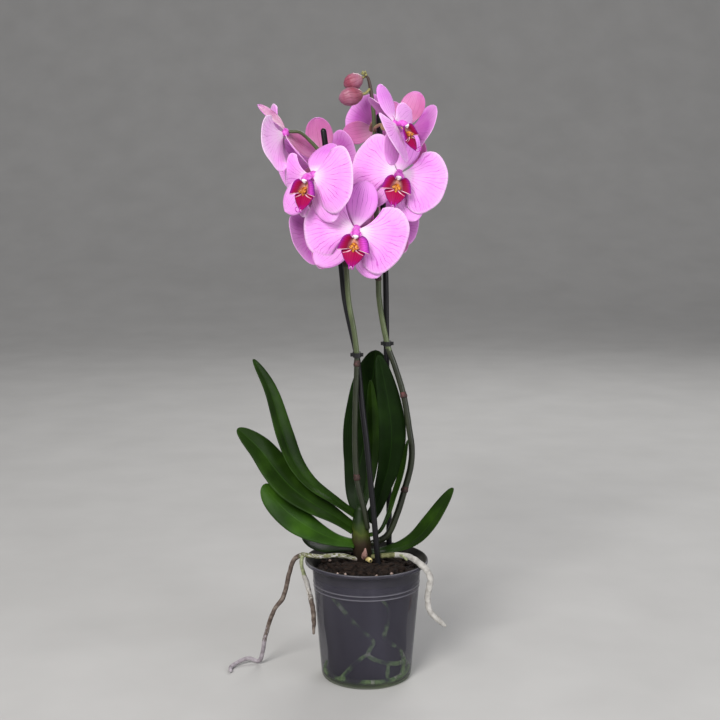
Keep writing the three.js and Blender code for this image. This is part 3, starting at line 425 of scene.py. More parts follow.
def stem_finish():
    """Leaf sheaths on a living stem: dry and brown below, yellow-green at the knee, dark green above."""
    material, add = new_material("living_stem_sheath")
    here = add("TexCoord").outputs["Object"]
    place = add("SeparateXYZ", {0: here})
    patch = add("TexNoise", {"Vector": here, "Scale": per_mm(SHEATH_PATCH), "Detail": 4.0})
    rise = add("MapRange", {
        "Value": place.outputs["Z"], "From Min": 0.118, "From Max": 0.166, "To Min": -0.2, "To Max": 0.8})
    uneven = add("Math", {0: patch, 1: 0.4, 2: rise}, operation="MULTIPLY_ADD")
    ground = add("ValToRGB", {0: uneven}, stops=[
        (0.0, "#1a130e"), (0.3, "#2f2417"), (0.44, "#35341a"), (0.56, "#47521d"), (0.66, "#2f4014"),
        (0.82, "#16270a")])
    fibre = add("Mapping", {"Vector": here, "Scale": (1, 1, 0.12)})
    thread = add("TexNoise", {"Vector": fibre, "Scale": per_mm(SHEATH_FIBRE), "Detail": 3.0})
    relief = add("Bump", {"Strength": 0.5, "Distance": 0.0004, "Height": thread})
    shader = add("BsdfPrincipled", {
        "Base Color": ground, "Roughness": 0.5, "Normal": relief, "Specular IOR Level": 0.25})
    add("OutputMaterial", {"Surface": shader})
    return material


def pot_finish():
    """Moulded polypropylene, tinted smoky lilac-grey: a satin wall that shows what lies behind it."""
    material, add = new_material("smoky_polypropylene_moulded")
    here = add("TexCoord").outputs["Object"]
    height = add("SeparateXYZ", {0: here}).outputs["Z"]
    flow = add("Mapping", {"Vector": here, "Scale": (1, 1, 0.25)})
    cloud = add("TexNoise", {"Vector": flow, "Scale": per_mm(POT_CLOUD), "Detail": 4.0})
    ground = add("ValToRGB", {0: cloud}, stops=[(0.3, "#34323e"), (0.7, "#42404d")])
    # Painted highlights: pale lines on the two thin rings and along the top edge.
    pale = add("MapRange", {
        "Value": height, "From Min": 0.1172, "From Max": 0.1181, "To Min": 0.0, "To Max": 0.45})
    for ring in RING_HEIGHTS:
        near = add("Math", {0: height, 1: ring * MM, 2: 0.00045}, operation="COMPARE")
        line = add("Math", {0: near, 1: 0.5}, operation="MULTIPLY")
        pale = add("Math", {0: pale, 1: line}, operation="MAXIMUM")
    edged = add("Mix", {0: pale, 6: ground, 7: linear("#8f8d94")}, data_type="RGBA")
    # A green bloom of algae on the lowest 8 mm.
    foot = add("MapRange", {
        "Value": height, "From Min": 0.0015, "From Max": 0.008, "To Min": 1.4, "To Max": 0.0})
    patchy = add("Math", {0: foot, 1: cloud}, operation="MULTIPLY")
    mossed = add("Mix", {0: patchy, 6: edged.outputs[2], 7: linear("#6d7f4c")}, data_type="RGBA")
    # The wall is thinnest, and clearest, by the foot, and less clear on the painted highlights and where it
    # is dusty.
    film = add("MapRange", {
        "Value": height, "From Min": 0.0, "From Max": 0.118, "To Min": 0.3, "To Max": 0.5})
    solid = add("Math", {0: pale, 1: 0.5, 2: film}, operation="MULTIPLY_ADD")
    dust_and_painted_light = add("Math", {0: cloud, 1: 0.16, 2: solid}, operation="MULTIPLY_ADD")
    scuff = add("TexNoise", {"Vector": flow, "Scale": per_mm(POT_SCUFF), "Detail": 5.0})
    gloss = add("MapRange", {
        "Value": scuff, "From Min": 0.3, "From Max": 0.7, "To Min": 0.34, "To Max": 0.46})
    relief = add("Bump", {"Strength": 0.04, "Distance": 0.0002, "Height": scuff})
    shader = add("BsdfPrincipled", {
        "Base Color": mossed.outputs[2], "Roughness": gloss, "Alpha": dust_and_painted_light, "Normal": relief,
        "Specular IOR Level": 0.5})
    add("OutputMaterial", {"Surface": shader})
    return material


# Petal ramps run from the foot of a petal to its rim, the mottle of skins from its darkest to its palest.
# Front of a petal: white at the foot, clear pink beyond, a paler rim, and rose veins.
PETAL_FRONT = petal_finish(
    "orchid_petal_front",
    [(0.0, "#fbeaf8"), (0.1, "#f9dcf6"), (0.3, "#f4a9f0"), (0.65, "#ee90ec"), (0.92, "#f19fef"),
     (1.0, "#f9c2f6")],
    "#b730b0", 0.85, 9, 0.5)
# Front of a side sepal: the same pink with fewer veins.
SEPAL_FRONT = petal_finish(
    "orchid_sepal_front",
    [(0.0, "#fbdcf6"), (0.2, "#f2abef"), (0.6, "#ee98ec"), (0.92, "#f2a9f0"), (1.0, "#f8c6f5")],
    "#b63cb2", 0.7, 6, 0.5)
# Back of a petal in painted light: almost white.
PETAL_BACK_PAINTED_LIT = petal_finish(
    "orchid_petal_back_painted_lit",
    [(0.0, "#fbe4f6"), (0.3, "#fbcdf6"), (0.7, "#fabff6"), (1.0, "#fcdaf9")],
    "#c764c0", 0.6, 8, 0.5)
# Back of a petal: a deeper mauve with a pale rim.
PETAL_BACK = petal_finish(
    "orchid_petal_back",
    [(0.0, "#cb80b4"), (0.3, "#bb60b2"), (0.7, "#b959b6"), (1.0, "#e096de")],
    "#8f3a80", 0.5, 8, 0.52)
# Back of a sepal: dusky rose with a pale rim.
SEPAL_BACK = petal_finish(
    "orchid_sepal_back",
    [(0.0, "#bd7f9c"), (0.3, "#bc5f96"), (0.75, "#c263a6"), (1.0, "#de93d1")],
    "#8c3a63", 0.5, 6, 0.52)
# Front of the top sepal: a stronger pink that sets off the petals.
DORSAL_FRONT = petal_finish(
    "orchid_top_sepal_front",
    [(0.0, "#fbe6f8"), (0.16, "#ee9eec"), (0.5, "#e27ae4"), (0.9, "#e488e6"), (1.0, "#f1aef0")],
    "#a030a4", 0.75, 7, 0.5)
# Closed bud: the dusky backs of its sepals, with a greenish foot and dark lines.
BUD_ROSE = petal_finish(
    "orchid_bud_skin",
    [(0.0, "#84533f"), (0.2, "#873b4c"), (0.6, "#934558"), (0.9, "#8b3b4f"), (1.0, "#6a283b")],
    "#5c1a30", 0.9, 9, 0.42)
# Blade of the lip: buff at the neck, crimson velvet, and violet at the point.
LIP_BLADE = lip_finish(
    "orchid_lip_blade",
    [(0.0, "#e8c09a"), (0.3, "#c98672"), (0.42, "#9a1436"), (0.55, "#9b0b40"), (0.78, "#a00a50"),
     (0.93, "#a01070"), (1.0, "#7a128c")], "#74127f")
# Inside of an ear: crimson that turns violet at its edge.
LIP_EAR = lip_finish(
    "orchid_lip_ear_inside",
    [(0.0, "#d8b49e"), (0.22, "#9a5a5e"), (0.38, "#7f0f34"), (0.62, "#930a3e"), (0.82, "#981468"),
     (1.0, "#8a1f92")], "#7c1a80")
# Inside of a paler ear: bright pink between a dark foot and a dark edge.
LIP_EAR_PINK = lip_finish(
    "orchid_lip_ear_inside_pink",
    [(0.0, "#e0b8ae"), (0.2, "#b0607c"), (0.36, "#b83a94"), (0.62, "#d04ac4"), (0.82, "#b03aac"),
     (1.0, "#6e2278")], "#6e2070")
# Outside of an ear: bright pink-violet.
LIP_OUTSIDE = lip_finish(
    "orchid_lip_outside",
    [(0.0, "#e9b7de"), (0.3, "#d05ac8"), (0.7, "#c838b8"), (1.0, "#a52aa0")], "#8e2a94")
# Rolled margin of an ear: a pale pink line.
LIP_MARGIN = skin_finish(
    "orchid_lip_margin", [(0.3, "#cf6f92"), (0.5, "#e6a9c0"), (0.75, "#f6dbe4")], 3, 0.45, 0.1)
# Callus: shiny yellow bumps with red-brown spots.
CALLUS_YELLOW = skin_finish(
    "orchid_callus_spotted", [(0.4, "#7a2412"), (0.49, "#b8661e"), (0.6, "#e39c2c")], 1.8, 0.34, 0.3,
    0.2, 0.5)
# Column: smooth, strong pink.
COLUMN_PINK = skin_finish(
    "orchid_column", [(0.3, "#c23bb0"), (0.55, "#d866cd"), (0.8, "#efaee8")], 4, 0.45, 0.15, spec=0.3,
    subsurface=0.05)
# Cap at the column's end: waxy white.
ANTHER_WHITE = skin_finish(
    "orchid_anther_cap", [(0.3, "#f5e4ef"), (0.7, "#fffafc")], 2.5, 0.4, 0.15, 0.1, 0.5, subsurface=0.1)

# Upper side of a leaf: dark green wax with a soft shine.
LEAF_UPPER = leaf_finish(
    "waxy_leaf_upper", [(0.25, "#0f1c06"), (0.5, "#1a2d09"), (0.8, "#2e4a10")], "#33541a", 0.34, 0.05)
# Leaves at the back in painted shade: their green painted nearly black, and dull.
LEAF_PAINTED_SHADE = leaf_finish(
    "waxy_leaf_upper_painted_shade", [(0.25, "#081104"), (0.5, "#0d1b06"), (0.8, "#182c0a")], "#1f3a0d", 0.42,
    0.0, 0.06)
# A leaf in painted light: its green painted brighter and fresher, with more shine.
LEAF_PAINTED_LIT = leaf_finish(
    "waxy_leaf_upper_painted_lit", [(0.25, "#15270a"), (0.5, "#24400e"), (0.8, "#3c6116")], "#3d601d", 0.32, 0.08)
# Underside of a leaf: paler and matt.
LEAF_UNDER = leaf_finish(
    "waxy_leaf_underside", [(0.25, "#18250e"), (0.55, "#223314"), (0.8, "#30441c")], "#384f22", 0.46, 0.04)
LEAF_PAINTED_LIGHT_COPIES = {"dark": LEAF_PAINTED_SHADE, "bright": LEAF_PAINTED_LIT}

STEM_GREEN = stem_finish()
# Dry sheath: brown and fibrous, like paper.
SHEATH_DRY = skin_finish(
    "dry_leaf_sheath", [(0.25, "#18130e"), (0.5, "#2f261a"), (0.7, "#4d4326"), (0.85, "#6d5a3c")], 4,
    0.75, 0.7, stretch=(1, 1, 0.25))
# Dry bract: dusty rose, matt.
BRACT_ROSE = skin_finish(
    "dry_rose_bract", [(0.25, "#6a4a42"), (0.5, "#96716a"), (0.75, "#c4a298")], 3, 0.7, 0.6,
    stretch=(1, 1, 0.4))
# Flower spike: smooth olive skin with long streaks and a soft shine.
SPIKE_OLIVE = skin_finish(
    "flower_spike_skin", [(0.25, "#363d27"), (0.5, "#4c5638"), (0.78, "#697450")], 9, 0.38, 0.2, 0.2,
    stretch=(1, 1, 0.22))
# Foot of a spike: the same skin, nearly black below the olive.
SPIKE_DARK = skin_finish(
    "flower_spike_foot_skin", [(0.25, "#191d13"), (0.5, "#262b1c"), (0.78, "#39402a")], 9, 0.36, 0.2, 0.15,
    stretch=(1, 1, 0.22))
# Tip of a spike: young skin flushed brown by the sun.
SPIKE_TIP = skin_finish(
    "flower_spike_tip_skin", [(0.25, "#2b1d18"), (0.5, "#43302a"), (0.78, "#5d4a35")], 7, 0.4, 0.2, 0.15,
    stretch=(1, 1, 0.3))
# Flower stalk: brown-rose skin.
STALK_GREEN = skin_finish(
    "flower_stalk_skin", [(0.25, "#7a5a4a"), (0.5, "#97795a"), (0.75, "#a58a6c")], 6, 0.42, 0.2, 0.15)
# Bud stalk: pale yellow-green.
STALK_PALE = skin_finish(
    "bud_stalk_skin", [(0.3, "#71703e"), (0.55, "#8f8b56"), (0.8, "#aaa276")], 4, 0.5, 0.2)
# Sheath at a joint: dry and dusky, with some rose.
JOINT_ROSE = skin_finish(
    "spike_joint_bract", [(0.3, "#1f1b14"), (0.5, "#362622"), (0.64, "#57302f"), (0.85, "#70403d")], 4,
    0.65, 0.4)

# Aerial root in its dry skin: grey-brown, dead matt and wrinkled.
ROOT_GREY = skin_finish(
    "dry_aerial_root", [(0.28, "#42362f"), (0.46, "#62554e"), (0.62, "#83786f"), (0.8, "#a59d96")], 6,
    0.86, 0.9, spec=0.2)
# The same skin, chalk white.
ROOT_WHITE = skin_finish(
    "dry_aerial_root_white", [(0.26, "#7f7a75"), (0.45, "#a5a29d"), (0.65, "#c0bdb8"), (0.85, "#d4d2ce")], 6,
    0.86, 0.9, spec=0.2)
# The same skin where it is damp: the green below shows.
ROOT_GREEN = skin_finish(
    "damp_aerial_root", [(0.28, "#42442a"), (0.5, "#666843"), (0.72, "#8b8b66")], 5, 0.6, 0.6, spec=0.3)
# The same skin near the floor: silver with a touch of lilac.
ROOT_SILVER = skin_finish(
    "dry_aerial_root_silver", [(0.28, "#786f74"), (0.5, "#9d959b"), (0.75, "#bcb6bb")], 6, 0.84, 0.8,
    spec=0.2)
# The same skin where it flakes: white over brown.
ROOT_MOTTLED = skin_finish(
    "dry_aerial_root_mottled", [(0.34, "#4d443c"), (0.46, "#8b837b"), (0.55, "#c9c6c0"), (0.8, "#e2e0dc")], 3,
    0.86, 0.9, spec=0.2)
# Cut end of a root: pale yellow pith.
ROOT_CUT = skin_finish(
    "cut_root_end", [(0.3, "#b09a5a"), (0.55, "#d8c888"), (0.8, "#e9dfb4")], 3, 0.7, 0.3)
# Growing root: soft grey-green.
ROOT_TIP = skin_finish(
    "growing_root_tip", [(0.3, "#676e4e"), (0.55, "#8f9572"), (0.75, "#b9b997")], 4, 0.55, 0.3)
# Root behind the wall: green and white where it touches the plastic, dark where it turns into the bark.
WALL_ROOT_GREEN = skin_finish(
    "damp_pot_root",
    [(0.44, "#26261f"), (0.49, "#5f8c3c"), (0.54, "#b4dc86"), (0.59, "#6fa045"), (0.65, "#f2f7dc")], 22,
    0.6, 0.5)
# Old root behind the wall: rusty brown.
WALL_ROOT_BROWN = skin_finish(
    "old_pot_root", [(0.4, "#26201b"), (0.5, "#8a5526"), (0.7, "#c98a3a")], 12, 0.7, 0.6)

# Loose pine bark: broken, rough and dark brown, in layers.
BARK_BROWN = skin_finish(
    "pine_bark_broken", [(0.2, "#0e0a08"), (0.45, "#1c1410"), (0.66, "#2f221a"), (0.88, "#523d2e")], 5,
    0.86, 1.0, spec=0.25, stretch=(1, 1, 2.2))
# Grit among the bark: pale crumbs.
BARK_PALE = skin_finish(
    "pale_grit_in_bark", [(0.3, "#8f7a70"), (0.55, "#bda79d"), (0.8, "#ded2ca")], 3, 0.85, 0.8, spec=0.2)
# Packed bark: damp and almost black.
BARK_DARK = skin_finish(
    "pine_bark_damp", [(0.25, "#0b0908"), (0.55, "#1a1411"), (0.8, "#2c221b")], 5, 0.8, 1.0, spec=0.3)
# Steel rod in a plastic coat: black, satin, with faint draw lines along it.
STAKE_BLACK = skin_finish(
    "plastic_coated_steel_stake", [(0.3, "#0d0c0f"), (0.7, "#151418")], 12, 0.4, 0.12, spec=0.3,
    stretch=(1, 1, 0.1))
# Moulded nylon clip: black with a small shine.
CLIP_BLACK = skin_finish("nylon_clip_moulded", [(0.3, "#0c0c0e"), (0.7, "#17171a")], 4, 0.3, 0.1, spec=0.5)
POT_SMOKY = pot_finish()
# Inside of the pot's lip: the same plastic, painted brown-black for the shade inside the rim, and dull.
POT_INSIDE_PAINTED_SHADE = skin_finish(
    "polypropylene_inside_painted_shade", [(0.3, "#1c1b18"), (0.5, "#2b2a26"), (0.75, "#403d36")], 7, 0.62, 0.3,
    spec=0.25)


# ---- Shapes ----
def curve_points(points, places):
    """Points on the smooth curve through points (centripetal Catmull-Rom), at places counted along them."""
    p = np.array(points, float)
    ends = np.vstack([2 * p[0] - p[1], p, 2 * p[-1] - p[-2]])
    out = []
    for place in places:
        k = min(int(place), len(p) - 2)
        t = place - k
        a, b, c, d = ends[k:k + 4]
        da, db, dc = (max(float(np.linalg.norm(q)) ** 0.5, 1e-6) for q in (b - a, c - b, d - c))
        m1 = ((b - a) / da - (c - a) / (da + db) + (c - b) / db) * db
        m2 = ((c - b) / db - (d - b) / (db + dc) + (d - c) / dc) * db
        out.append(b + m1 * t + (3 * (c - b) - 2 * m1 - m2) * t * t + (2 * (b - c) + m1 + m2) * t ** 3)
    return np.array(out)


def unit(vectors):
    """The same directions with a length of 1."""
    return vectors / np.maximum(np.linalg.norm(vectors, axis=-1, keepdims=True), 1e-9)


def even_curve(points, shares):
    """Points and directions at shares (0 to 1) of the length of the smooth curve through points."""
    fine = curve_points(points, np.linspace(0, len(points) - 1, 400))
    run = np.concatenate([[0], np.cumsum(np.linalg.norm(np.diff(fine, axis=0), axis=1))])
    at = np.array([[np.interp(s * run[-1], run, fine[:, i]) for i in range(3)] for s in shares])
    way = unit(np.gradient(fine, axis=0))
    ways = unit(np.array([[np.interp(s * run[-1], run, way[:, i]) for i in range(3)] for s in shares]))
    return at, ways


def ring_faces(rows, sides):
    """The faces of a closed skin over rows of points, each a ring of sides, flat at both ends."""
    faces = []
    for i in range(rows - 1):
        for j in range(sides):
            a, b = i * sides + j, i * sides + (j + 1) % sides
            faces.append((a, b, b + sides, a + sides))
    top = (rows - 1) * sides
    faces.append(tuple(range(sides - 1, -1, -1)))
    faces.append(tuple(range(top, top + sides)))
    return faces


# A rounded end of a stem: radius and distance as shares of the stem's radius, from the tip inward.
ROUND_END = [(0.25, 0.96), (0.7, 0.7), (0.98, 0.2)]


def tube(points, radii, sides=16, finish=0, ends=True, rough=0.0, seed=1):
    """A round stem through points. rough makes the radius uneven by that share."""
    points = np.array(points, float)
    radii = np.array(radii, float)
    ways = unit(np.gradient(points, axis=0))
    if ends:
        first = [points[0] - ways[0] * radii[0] * out for _, out in ROUND_END]
        last = [points[-1] + ways[-1] * radii[-1] * out for _, out in ROUND_END[::-1]]
        radii = np.concatenate([[radii[0] * r for r, _ in ROUND_END], radii,
                                [radii[-1] * r for r, _ in ROUND_END[::-1]]])
        points = np.vstack([first, points, last])
        ways = np.vstack([[ways[0]] * 3, ways, [ways[-1]] * 3])
    across = np.cross([0.0, 0.0, 1.0], ways[0])
    if np.linalg.norm(across) < 0.2:
        across = np.array([1.0, 0.0, 0.0])
    # Five waves along and round the stem, 7 to 25 mm long, make its skin uneven.
    draw = random.Random(seed)
    waves = [(draw.uniform(0.25, 0.9), draw.uniform(0, 6.3), draw.randint(1, 3)) for _ in range(5)]
    run = np.concatenate([[0], np.cumsum(np.linalg.norm(np.diff(points, axis=0), axis=1))])
    verts, uvs = [], []
    for i, (centre, way) in enumerate(zip(points, ways)):
        across = unit(across - way * np.dot(across, way))
        beside = np.cross(way, across)
        for j in range(sides):
            turn = 2 * math.pi * j / sides
            uneven = sum(math.sin(run[i] * w + p + turn * n) for w, p, n in waves) / len(waves)
            reach = radii[i] * (1 + rough * uneven)
            verts.append(centre + across * reach * math.cos(turn) + beside * reach * math.sin(turn))
            uvs.append((j / sides, run[i] / max(run[-1], 1e-6)))
    faces = ring_faces(len(points), sides)
    return dict(verts=np.array(verts), faces=faces, uvs=uvs, finish=[finish] * len(faces))


def smooth_tube(route, radii, per_span=6, **more):
    """A stem that follows the smooth curve through route, with a radius for each of its points."""
    places = np.linspace(0, len(route) - 1, (len(route) - 1) * per_span + 1)
    return tube(curve_points(route, places), np.interp(places, range(len(route)), radii), **more)


def blade(middle, thick, front=0, back=0):
    """A thin closed blade about a grid of middle points: thick is a grid of millimetres."""
    rows, cols = middle.shape[:2]
    normal = unit(np.cross(np.gradient(middle, axis=0), np.gradient(middle, axis=1)))
    upper = middle + normal * thick[..., None] / 2
    lower = middle - normal * thick[..., None] / 2
    verts = np.concatenate([upper.reshape(-1, 3), lower.reshape(-1, 3)])
    n = rows * cols
    u, v = np.meshgrid(np.linspace(0, 1, rows), np.linspace(0, 1, cols), indexing="ij")
    uvs = list(zip(v.ravel(), u.ravel())) * 2
    faces, finish = [], []
    for i in range(rows - 1):
        for j in range(cols - 1):
            a = i * cols + j
            faces.append((a, a + cols, a + cols + 1, a + 1))
            faces.append((n + a, n + a + 1, n + a + cols + 1, n + a + cols))
            finish += [front, back]
    for i in range(rows - 1):
        a, b = i * cols, i * cols + cols - 1
        faces.append((a, n + a, n + a + cols, a + cols))
        faces.append((b, b + cols, n + b + cols, n + b))
        finish += [front, front]
    for j in range(cols - 1):
        a, b = j, (rows - 1) * cols + j
        faces.append((a, a + 1, n + a + 1, n + a))
        faces.append((b, n + b, n + b + 1, b + 1))
        finish += [front, front]
    return dict(verts=verts, faces=faces, uvs=uvs, finish=finish)


def lathe(profile, sides, finish=0):
    """A closed turned body: profile is a list of radius and height that comes back to its start."""
    verts, uvs, faces = [], [], []
    for k, (radius, z) in enumerate(profile):
        nxt = (k + 1) % len(profile)
        for j in range(sides):
            turn = 2 * math.pi * j / sides
            beside = (j + 1) % sides
            verts.append((radius * math.cos(turn), radius * math.sin(turn), z))
            uvs.append((j / sides, k / len(profile)))
            faces.append((k * sides + j, k * sides + beside, nxt * sides + beside, nxt * sides + j))
    return dict(verts=np.array(verts), faces=faces, uvs=uvs, finish=[finish] * len(faces))


def moved(shape, matrix, shift):
    """The same shape turned by a 3 by 3 matrix and then shifted."""
    return dict(shape, verts=shape["verts"] @ np.array(matrix).T + np.array(shift))


def make_piece(name, shapes, finishes, nodes=()):
    """One object of several shapes, with its finishes, riding on the plant."""
    mesh = bpy.data.meshes.new(name)
    verts, faces, uvs, index = [], [], [], []
    for shape in shapes:
        start = len(verts)
        verts.extend(map(tuple, shape["verts"] * MM))
        faces.extend(tuple(start + k for k in face) for face in shape["faces"])
        uvs.extend(shape["uvs"])
        index.extend(shape["finish"])
    mesh.from_pydata(verts, [], faces)
    for finish in finishes:
        mesh.materials.append(finish)
    mesh.polygons.foreach_set("material_index", index)
    layer = mesh.uv_layers.new(name="petal")
    flat = np.array(uvs, float)[[loop.vertex_index for loop in mesh.loops]]
    layer.data.foreach_set("uv", flat.ravel())
    mesh.polygons.foreach_set("use_smooth", [True] * len(mesh.polygons))
    work = bmesh.new()
    work.from_mesh(mesh)
    bmesh.ops.recalc_face_normals(work, faces=work.faces)
    work.to_mesh(mesh)
    work.free()
    piece = bpy.data.objects.new(name, mesh)
    bpy.context.collection.objects.link(piece)
    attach(piece, "root")
    if nodes:
        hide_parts(*nodes)
    return piece


# ---- Pot ----
def wall_radius(z):
    """The outside of the wall at a height."""
    return WALL_FOOT_RADIUS + WALL_SLOPE * z


def inner_radius(z):
    """Radius of the pot's inside at a height."""
    return wall_radius(z) - WALL


def ring_profile(z):
    """A thin moulded ring round the wall, 0.45 mm proud."""
    steps = [(-1.1, 0), (-0.5, 0.3), (0, 0.45), (0.5, 0.3), (1.1, 0)]
    return [(wall_radius(z + step) + proud, z + step) for step, proud in steps]


def build_pot():
    """The thin moulded pot: a rounded foot, two rings, a rolled lip, and painted shade on the inside of the
    lip.
    """
    outside = [(0.4, 0), (20, 0), (40.2, 0), (41.6, 0.25), (42.8, 0.9), (43.7, 2.2)]
    outside += [(wall_radius(z), z) for z in (4, 30, 60, 85)]
    outside += [point for z in RING_HEIGHTS for point in ring_profile(z)]
    outside += [(wall_radius(z), z) for z in (104, LIP_FOOT - 0.6)]
    outside += [(wall_radius(LIP_FOOT) + 0.5, LIP_FOOT + 0.5), (56.6, 113.6), (59.2, 114.4), (59.9, 115.2),
                (POT_RADIUS, 116.4), (59.8, 117.5), (59.2, 118.1)]
    inside = [(58.4, POT_HEIGHT), (57.6, 117.8), (56.8, 116.6), (55, 115),
              (inner_radius(LIP_FOOT) + 0.4, 113.2)]
    inside += [(inner_radius(z), z) for z in (LIP_FOOT, 103, 85, 40, 5)]
    inside += [(41.8, 2.8), (40, POT_FLOOR), (20, POT_FLOOR), (0.4, POT_FLOOR)]
    profile = outside + inside
    body = lathe(profile, POT_SIDES)
    # The rows inside the lip get the finish with painted shade.
    dust_and_painted_light = [k for k, (_, z) in enumerate(profile) if k >= len(outside) - 1 and z > LIP_FOOT - 1]
    body["finish"] = [1 if face // POT_SIDES in dust_and_painted_light else 0 for face in range(len(body["faces"]))]
    return make_piece("pot_moulded", [body], [POT_SMOKY, POT_INSIDE_PAINTED_SHADE], ["pot"])


def on_wall(turn, z, lift=0.35):
    """The middle of a root that lies against the wall."""
    radius = inner_radius(z) - lift - WALL_ROOT_RADIUS
    angle = math.radians(turn)
    return radius * math.cos(angle), radius * math.sin(angle), z


def build_wall_roots():
    """Roots pressed against the wall, thinner where each comes out of the bark. The last one is old."""
    shapes = []
    for k, turns in enumerate(WALL_ROOTS):
        route = [on_wall(turn, z) for turn, z in turns]
        radii = [WALL_ROOT_RADIUS - (0.7 if i == 0 else 0) for i in range(len(route))]
        old = k == len(WALL_ROOTS) - 1
        shapes.append(smooth_tube(route, radii, 8, sides=14, rough=0.12, seed=20 + k, finish=1 if old else 0))
    return make_piece(
        "roots_behind_wall", shapes, [WALL_ROOT_GREEN, WALL_ROOT_BROWN], ["pot_roots"])


def mound_height(radius):
    """The height of the bark at a distance from the pot's axis."""
    return MOUND_TOP - MOUND_DROP * (radius / MOUND_RADIUS) ** 2


def bark_chip(draw, centre, size, finish):
    """One broken chip: a box with cut corners and uneven faces."""
    body = bmesh.new()
    bmesh.ops.create_cube(body, size=1.0)
    bmesh.ops.bevel(body, geom=body.edges[:], offset=0.14, segments=1, affect="EDGES")
    turn = np.array(Vector((0, 0, 1)).rotation_difference(
        Vector((draw.gauss(0, 0.35), draw.gauss(0, 0.35), 1))).to_matrix())
    spin = draw.uniform(0, 2 * math.pi)
    flat = np.array([[math.cos(spin), -math.sin(spin), 0], [math.sin(spin), math.cos(spin), 0], [0, 0, 1]])
    verts = np.array([v.co[:] for v in body.verts]) * size
    verts += np.array([[draw.gauss(0, 0.35) for _ in range(3)] for _ in verts])
    faces = [tuple(v.index for v in face.verts) for face in body.faces]
    body.free()
    return dict(verts=verts @ (turn @ flat).T + centre, faces=faces, uvs=[(0.5, 0.5)] * len(verts),
                finish=[finish] * len(faces))


def bark_body(draw):
    """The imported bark, clear of the wall where the roots lie, with uneven sides."""
    brim = inner_radius(BARK_BRIM) - 0.6
    heights = [(0.4, 2.4), (20, 2.4), (38, 2.4)]
    heights += [(inner_radius(z) - ROOT_SPACE, z) for z in (6, 30, 50, 70, 92)]
    heights += [(brim, BARK_BRIM), (brim, 105)]
    heights += [(r, mound_height(r) - 1.5) for r in (46, 40, 34, 27, 20, 10, 0.4)]
    body = lathe(heights, 72, 1)
    for v in body["verts"]:
        if 5 < v[2] < 95 and math.hypot(v[0], v[1]) > 30:
            wave = math.sin(v[2] * 0.4 + 3 * math.atan2(v[1], v[0]))
            v[:2] *= 1 - 0.03 * wave - 0.02 * draw.random()
    return body


def build_bark():
    """The bark with chips strewn over its mound in even spacing, small near the wall, and pale grit."""
    draw = random.Random(11)
    block = [bark_body(draw)]
    for k in range(CHIP_COUNT):
        radius = CHIP_FIELD * math.sqrt((k + 0.5) / CHIP_COUNT)
        turn = k * GOLDEN_TURN
        x, y = radius * math.cos(turn), radius * math.sin(turn)
        if math.hypot(x + 3, y - 1) < STEM_CLEAR:
            continue
        size = np.array([draw.uniform(*span) for span in CHIP_SIZES])
        if radius > 36:
            size *= SMALL_CHIP
        place = np.array([x, y, mound_height(radius) + draw.uniform(-2.2, 0.4)])
        block.append(bark_chip(draw, place, size, 0))
    for x, y in PALE_GRIT:
        centre = np.array([x, y, mound_height(math.hypot(x, y)) + GRIT_SIZE[2]])
        block.append(bark_chip(draw, centre, np.array(GRIT_SIZE), 2))
    return make_piece("bark_chips", block, [BARK_BROWN, BARK_DARK, BARK_PALE], ["bark_mix"])


# ---- Stem and leaves ----
def build_stem():
    """The stem in its sheaths, a dry rose bract and the end of a cut root."""
    shapes = [
        smooth_tube(STEM_ROUTE, STEM_RADII, 6, sides=28, rough=0.05, seed=3),
        smooth_tube([(-5, 0, 136), (-8.6, -1, 148), (-10.6, -1.4, 157)], [6.4, 5.4, 3], 5, sides=20,
                    rough=0.05, seed=4),
        smooth_tube([(-2.5, -6, 121), (-1.6, -10.4, 125), (-1.2, -11.8, 130.4)], [3.1, 2.6, 0.9], 5, sides=14,
                    finish=2, rough=0.1, seed=5),
        smooth_tube([(0, -4, 118.4), (3.4, -11.6, 119)], [2.6, 2.4], 5, sides=16, finish=3),
        smooth_tube([(3.2, -11.2, 119), (4, -13.8, 119.2)], [1.4, 1.0], 3, sides=12, finish=1),
    ]
    return make_piece("stem_and_sheaths", shapes, [STEM_GREEN, SHEATH_DRY, BRACT_ROSE, ROOT_CUT],
                      ["stem_base"])


def leaf_shape(leaf, rows=64, cols=21):
    """A strap leaf, folded along its midrib: narrow at the foot, full from 0.62 of its length, then blunt."""
    blunt, foot = leaf["blunt"], leaf.get("foot", 0.36)
    t = np.linspace(0, 1, rows)
    u = 1 - (1 - t) ** 1.25
    at, ways = even_curve(leaf["route"], u)
    rise = np.clip(u / 0.62, 0, 1)
    widening = rise * rise * (3 - 2 * rise)
    half = leaf["width"] / 2 * (foot + (1 - foot) * widening) * np.sqrt(np.clip(1 - u ** blunt, 2e-4, 1))
    foot_face, tip_face = np.array(leaf["face_foot"], float), np.array(leaf["face_tip"], float)
    face = (1 - u)[:, None] * foot_face + u[:, None] * tip_face
    side = unit(np.cross(ways, face))
    up = np.cross(side, ways)
    fold = math.radians(leaf["fold"])
    v = np.linspace(1, -1, cols)
    # The fold is soft at the midrib, and each half arches a little.
    lift = np.sqrt(v * v + 0.012) - 0.11
    arch = 0.10 * (v ** 2) * (1 - v ** 2)
    middle = (at[:, None, :] + side[:, None, :] * (v[None, :] * half[:, None] * math.cos(fold))[..., None]
              + up[:, None, :] * ((lift * math.sin(fold) + arch)[None, :] * half[:, None])[..., None])
    # Thick along the midrib and at the foot, thin at the edge and the tip.
    edge = np.sqrt(np.clip(1 - np.abs(v) ** 5, 0, 1))
    thick = (0.5 + (0.6 + 1.5 * (1 - v * v))[None, :] * (1 - 0.6 * u)[:, None] * edge[None, :])
    thick[-1] = 0.3
    return blade(middle, thick, 0, 1)


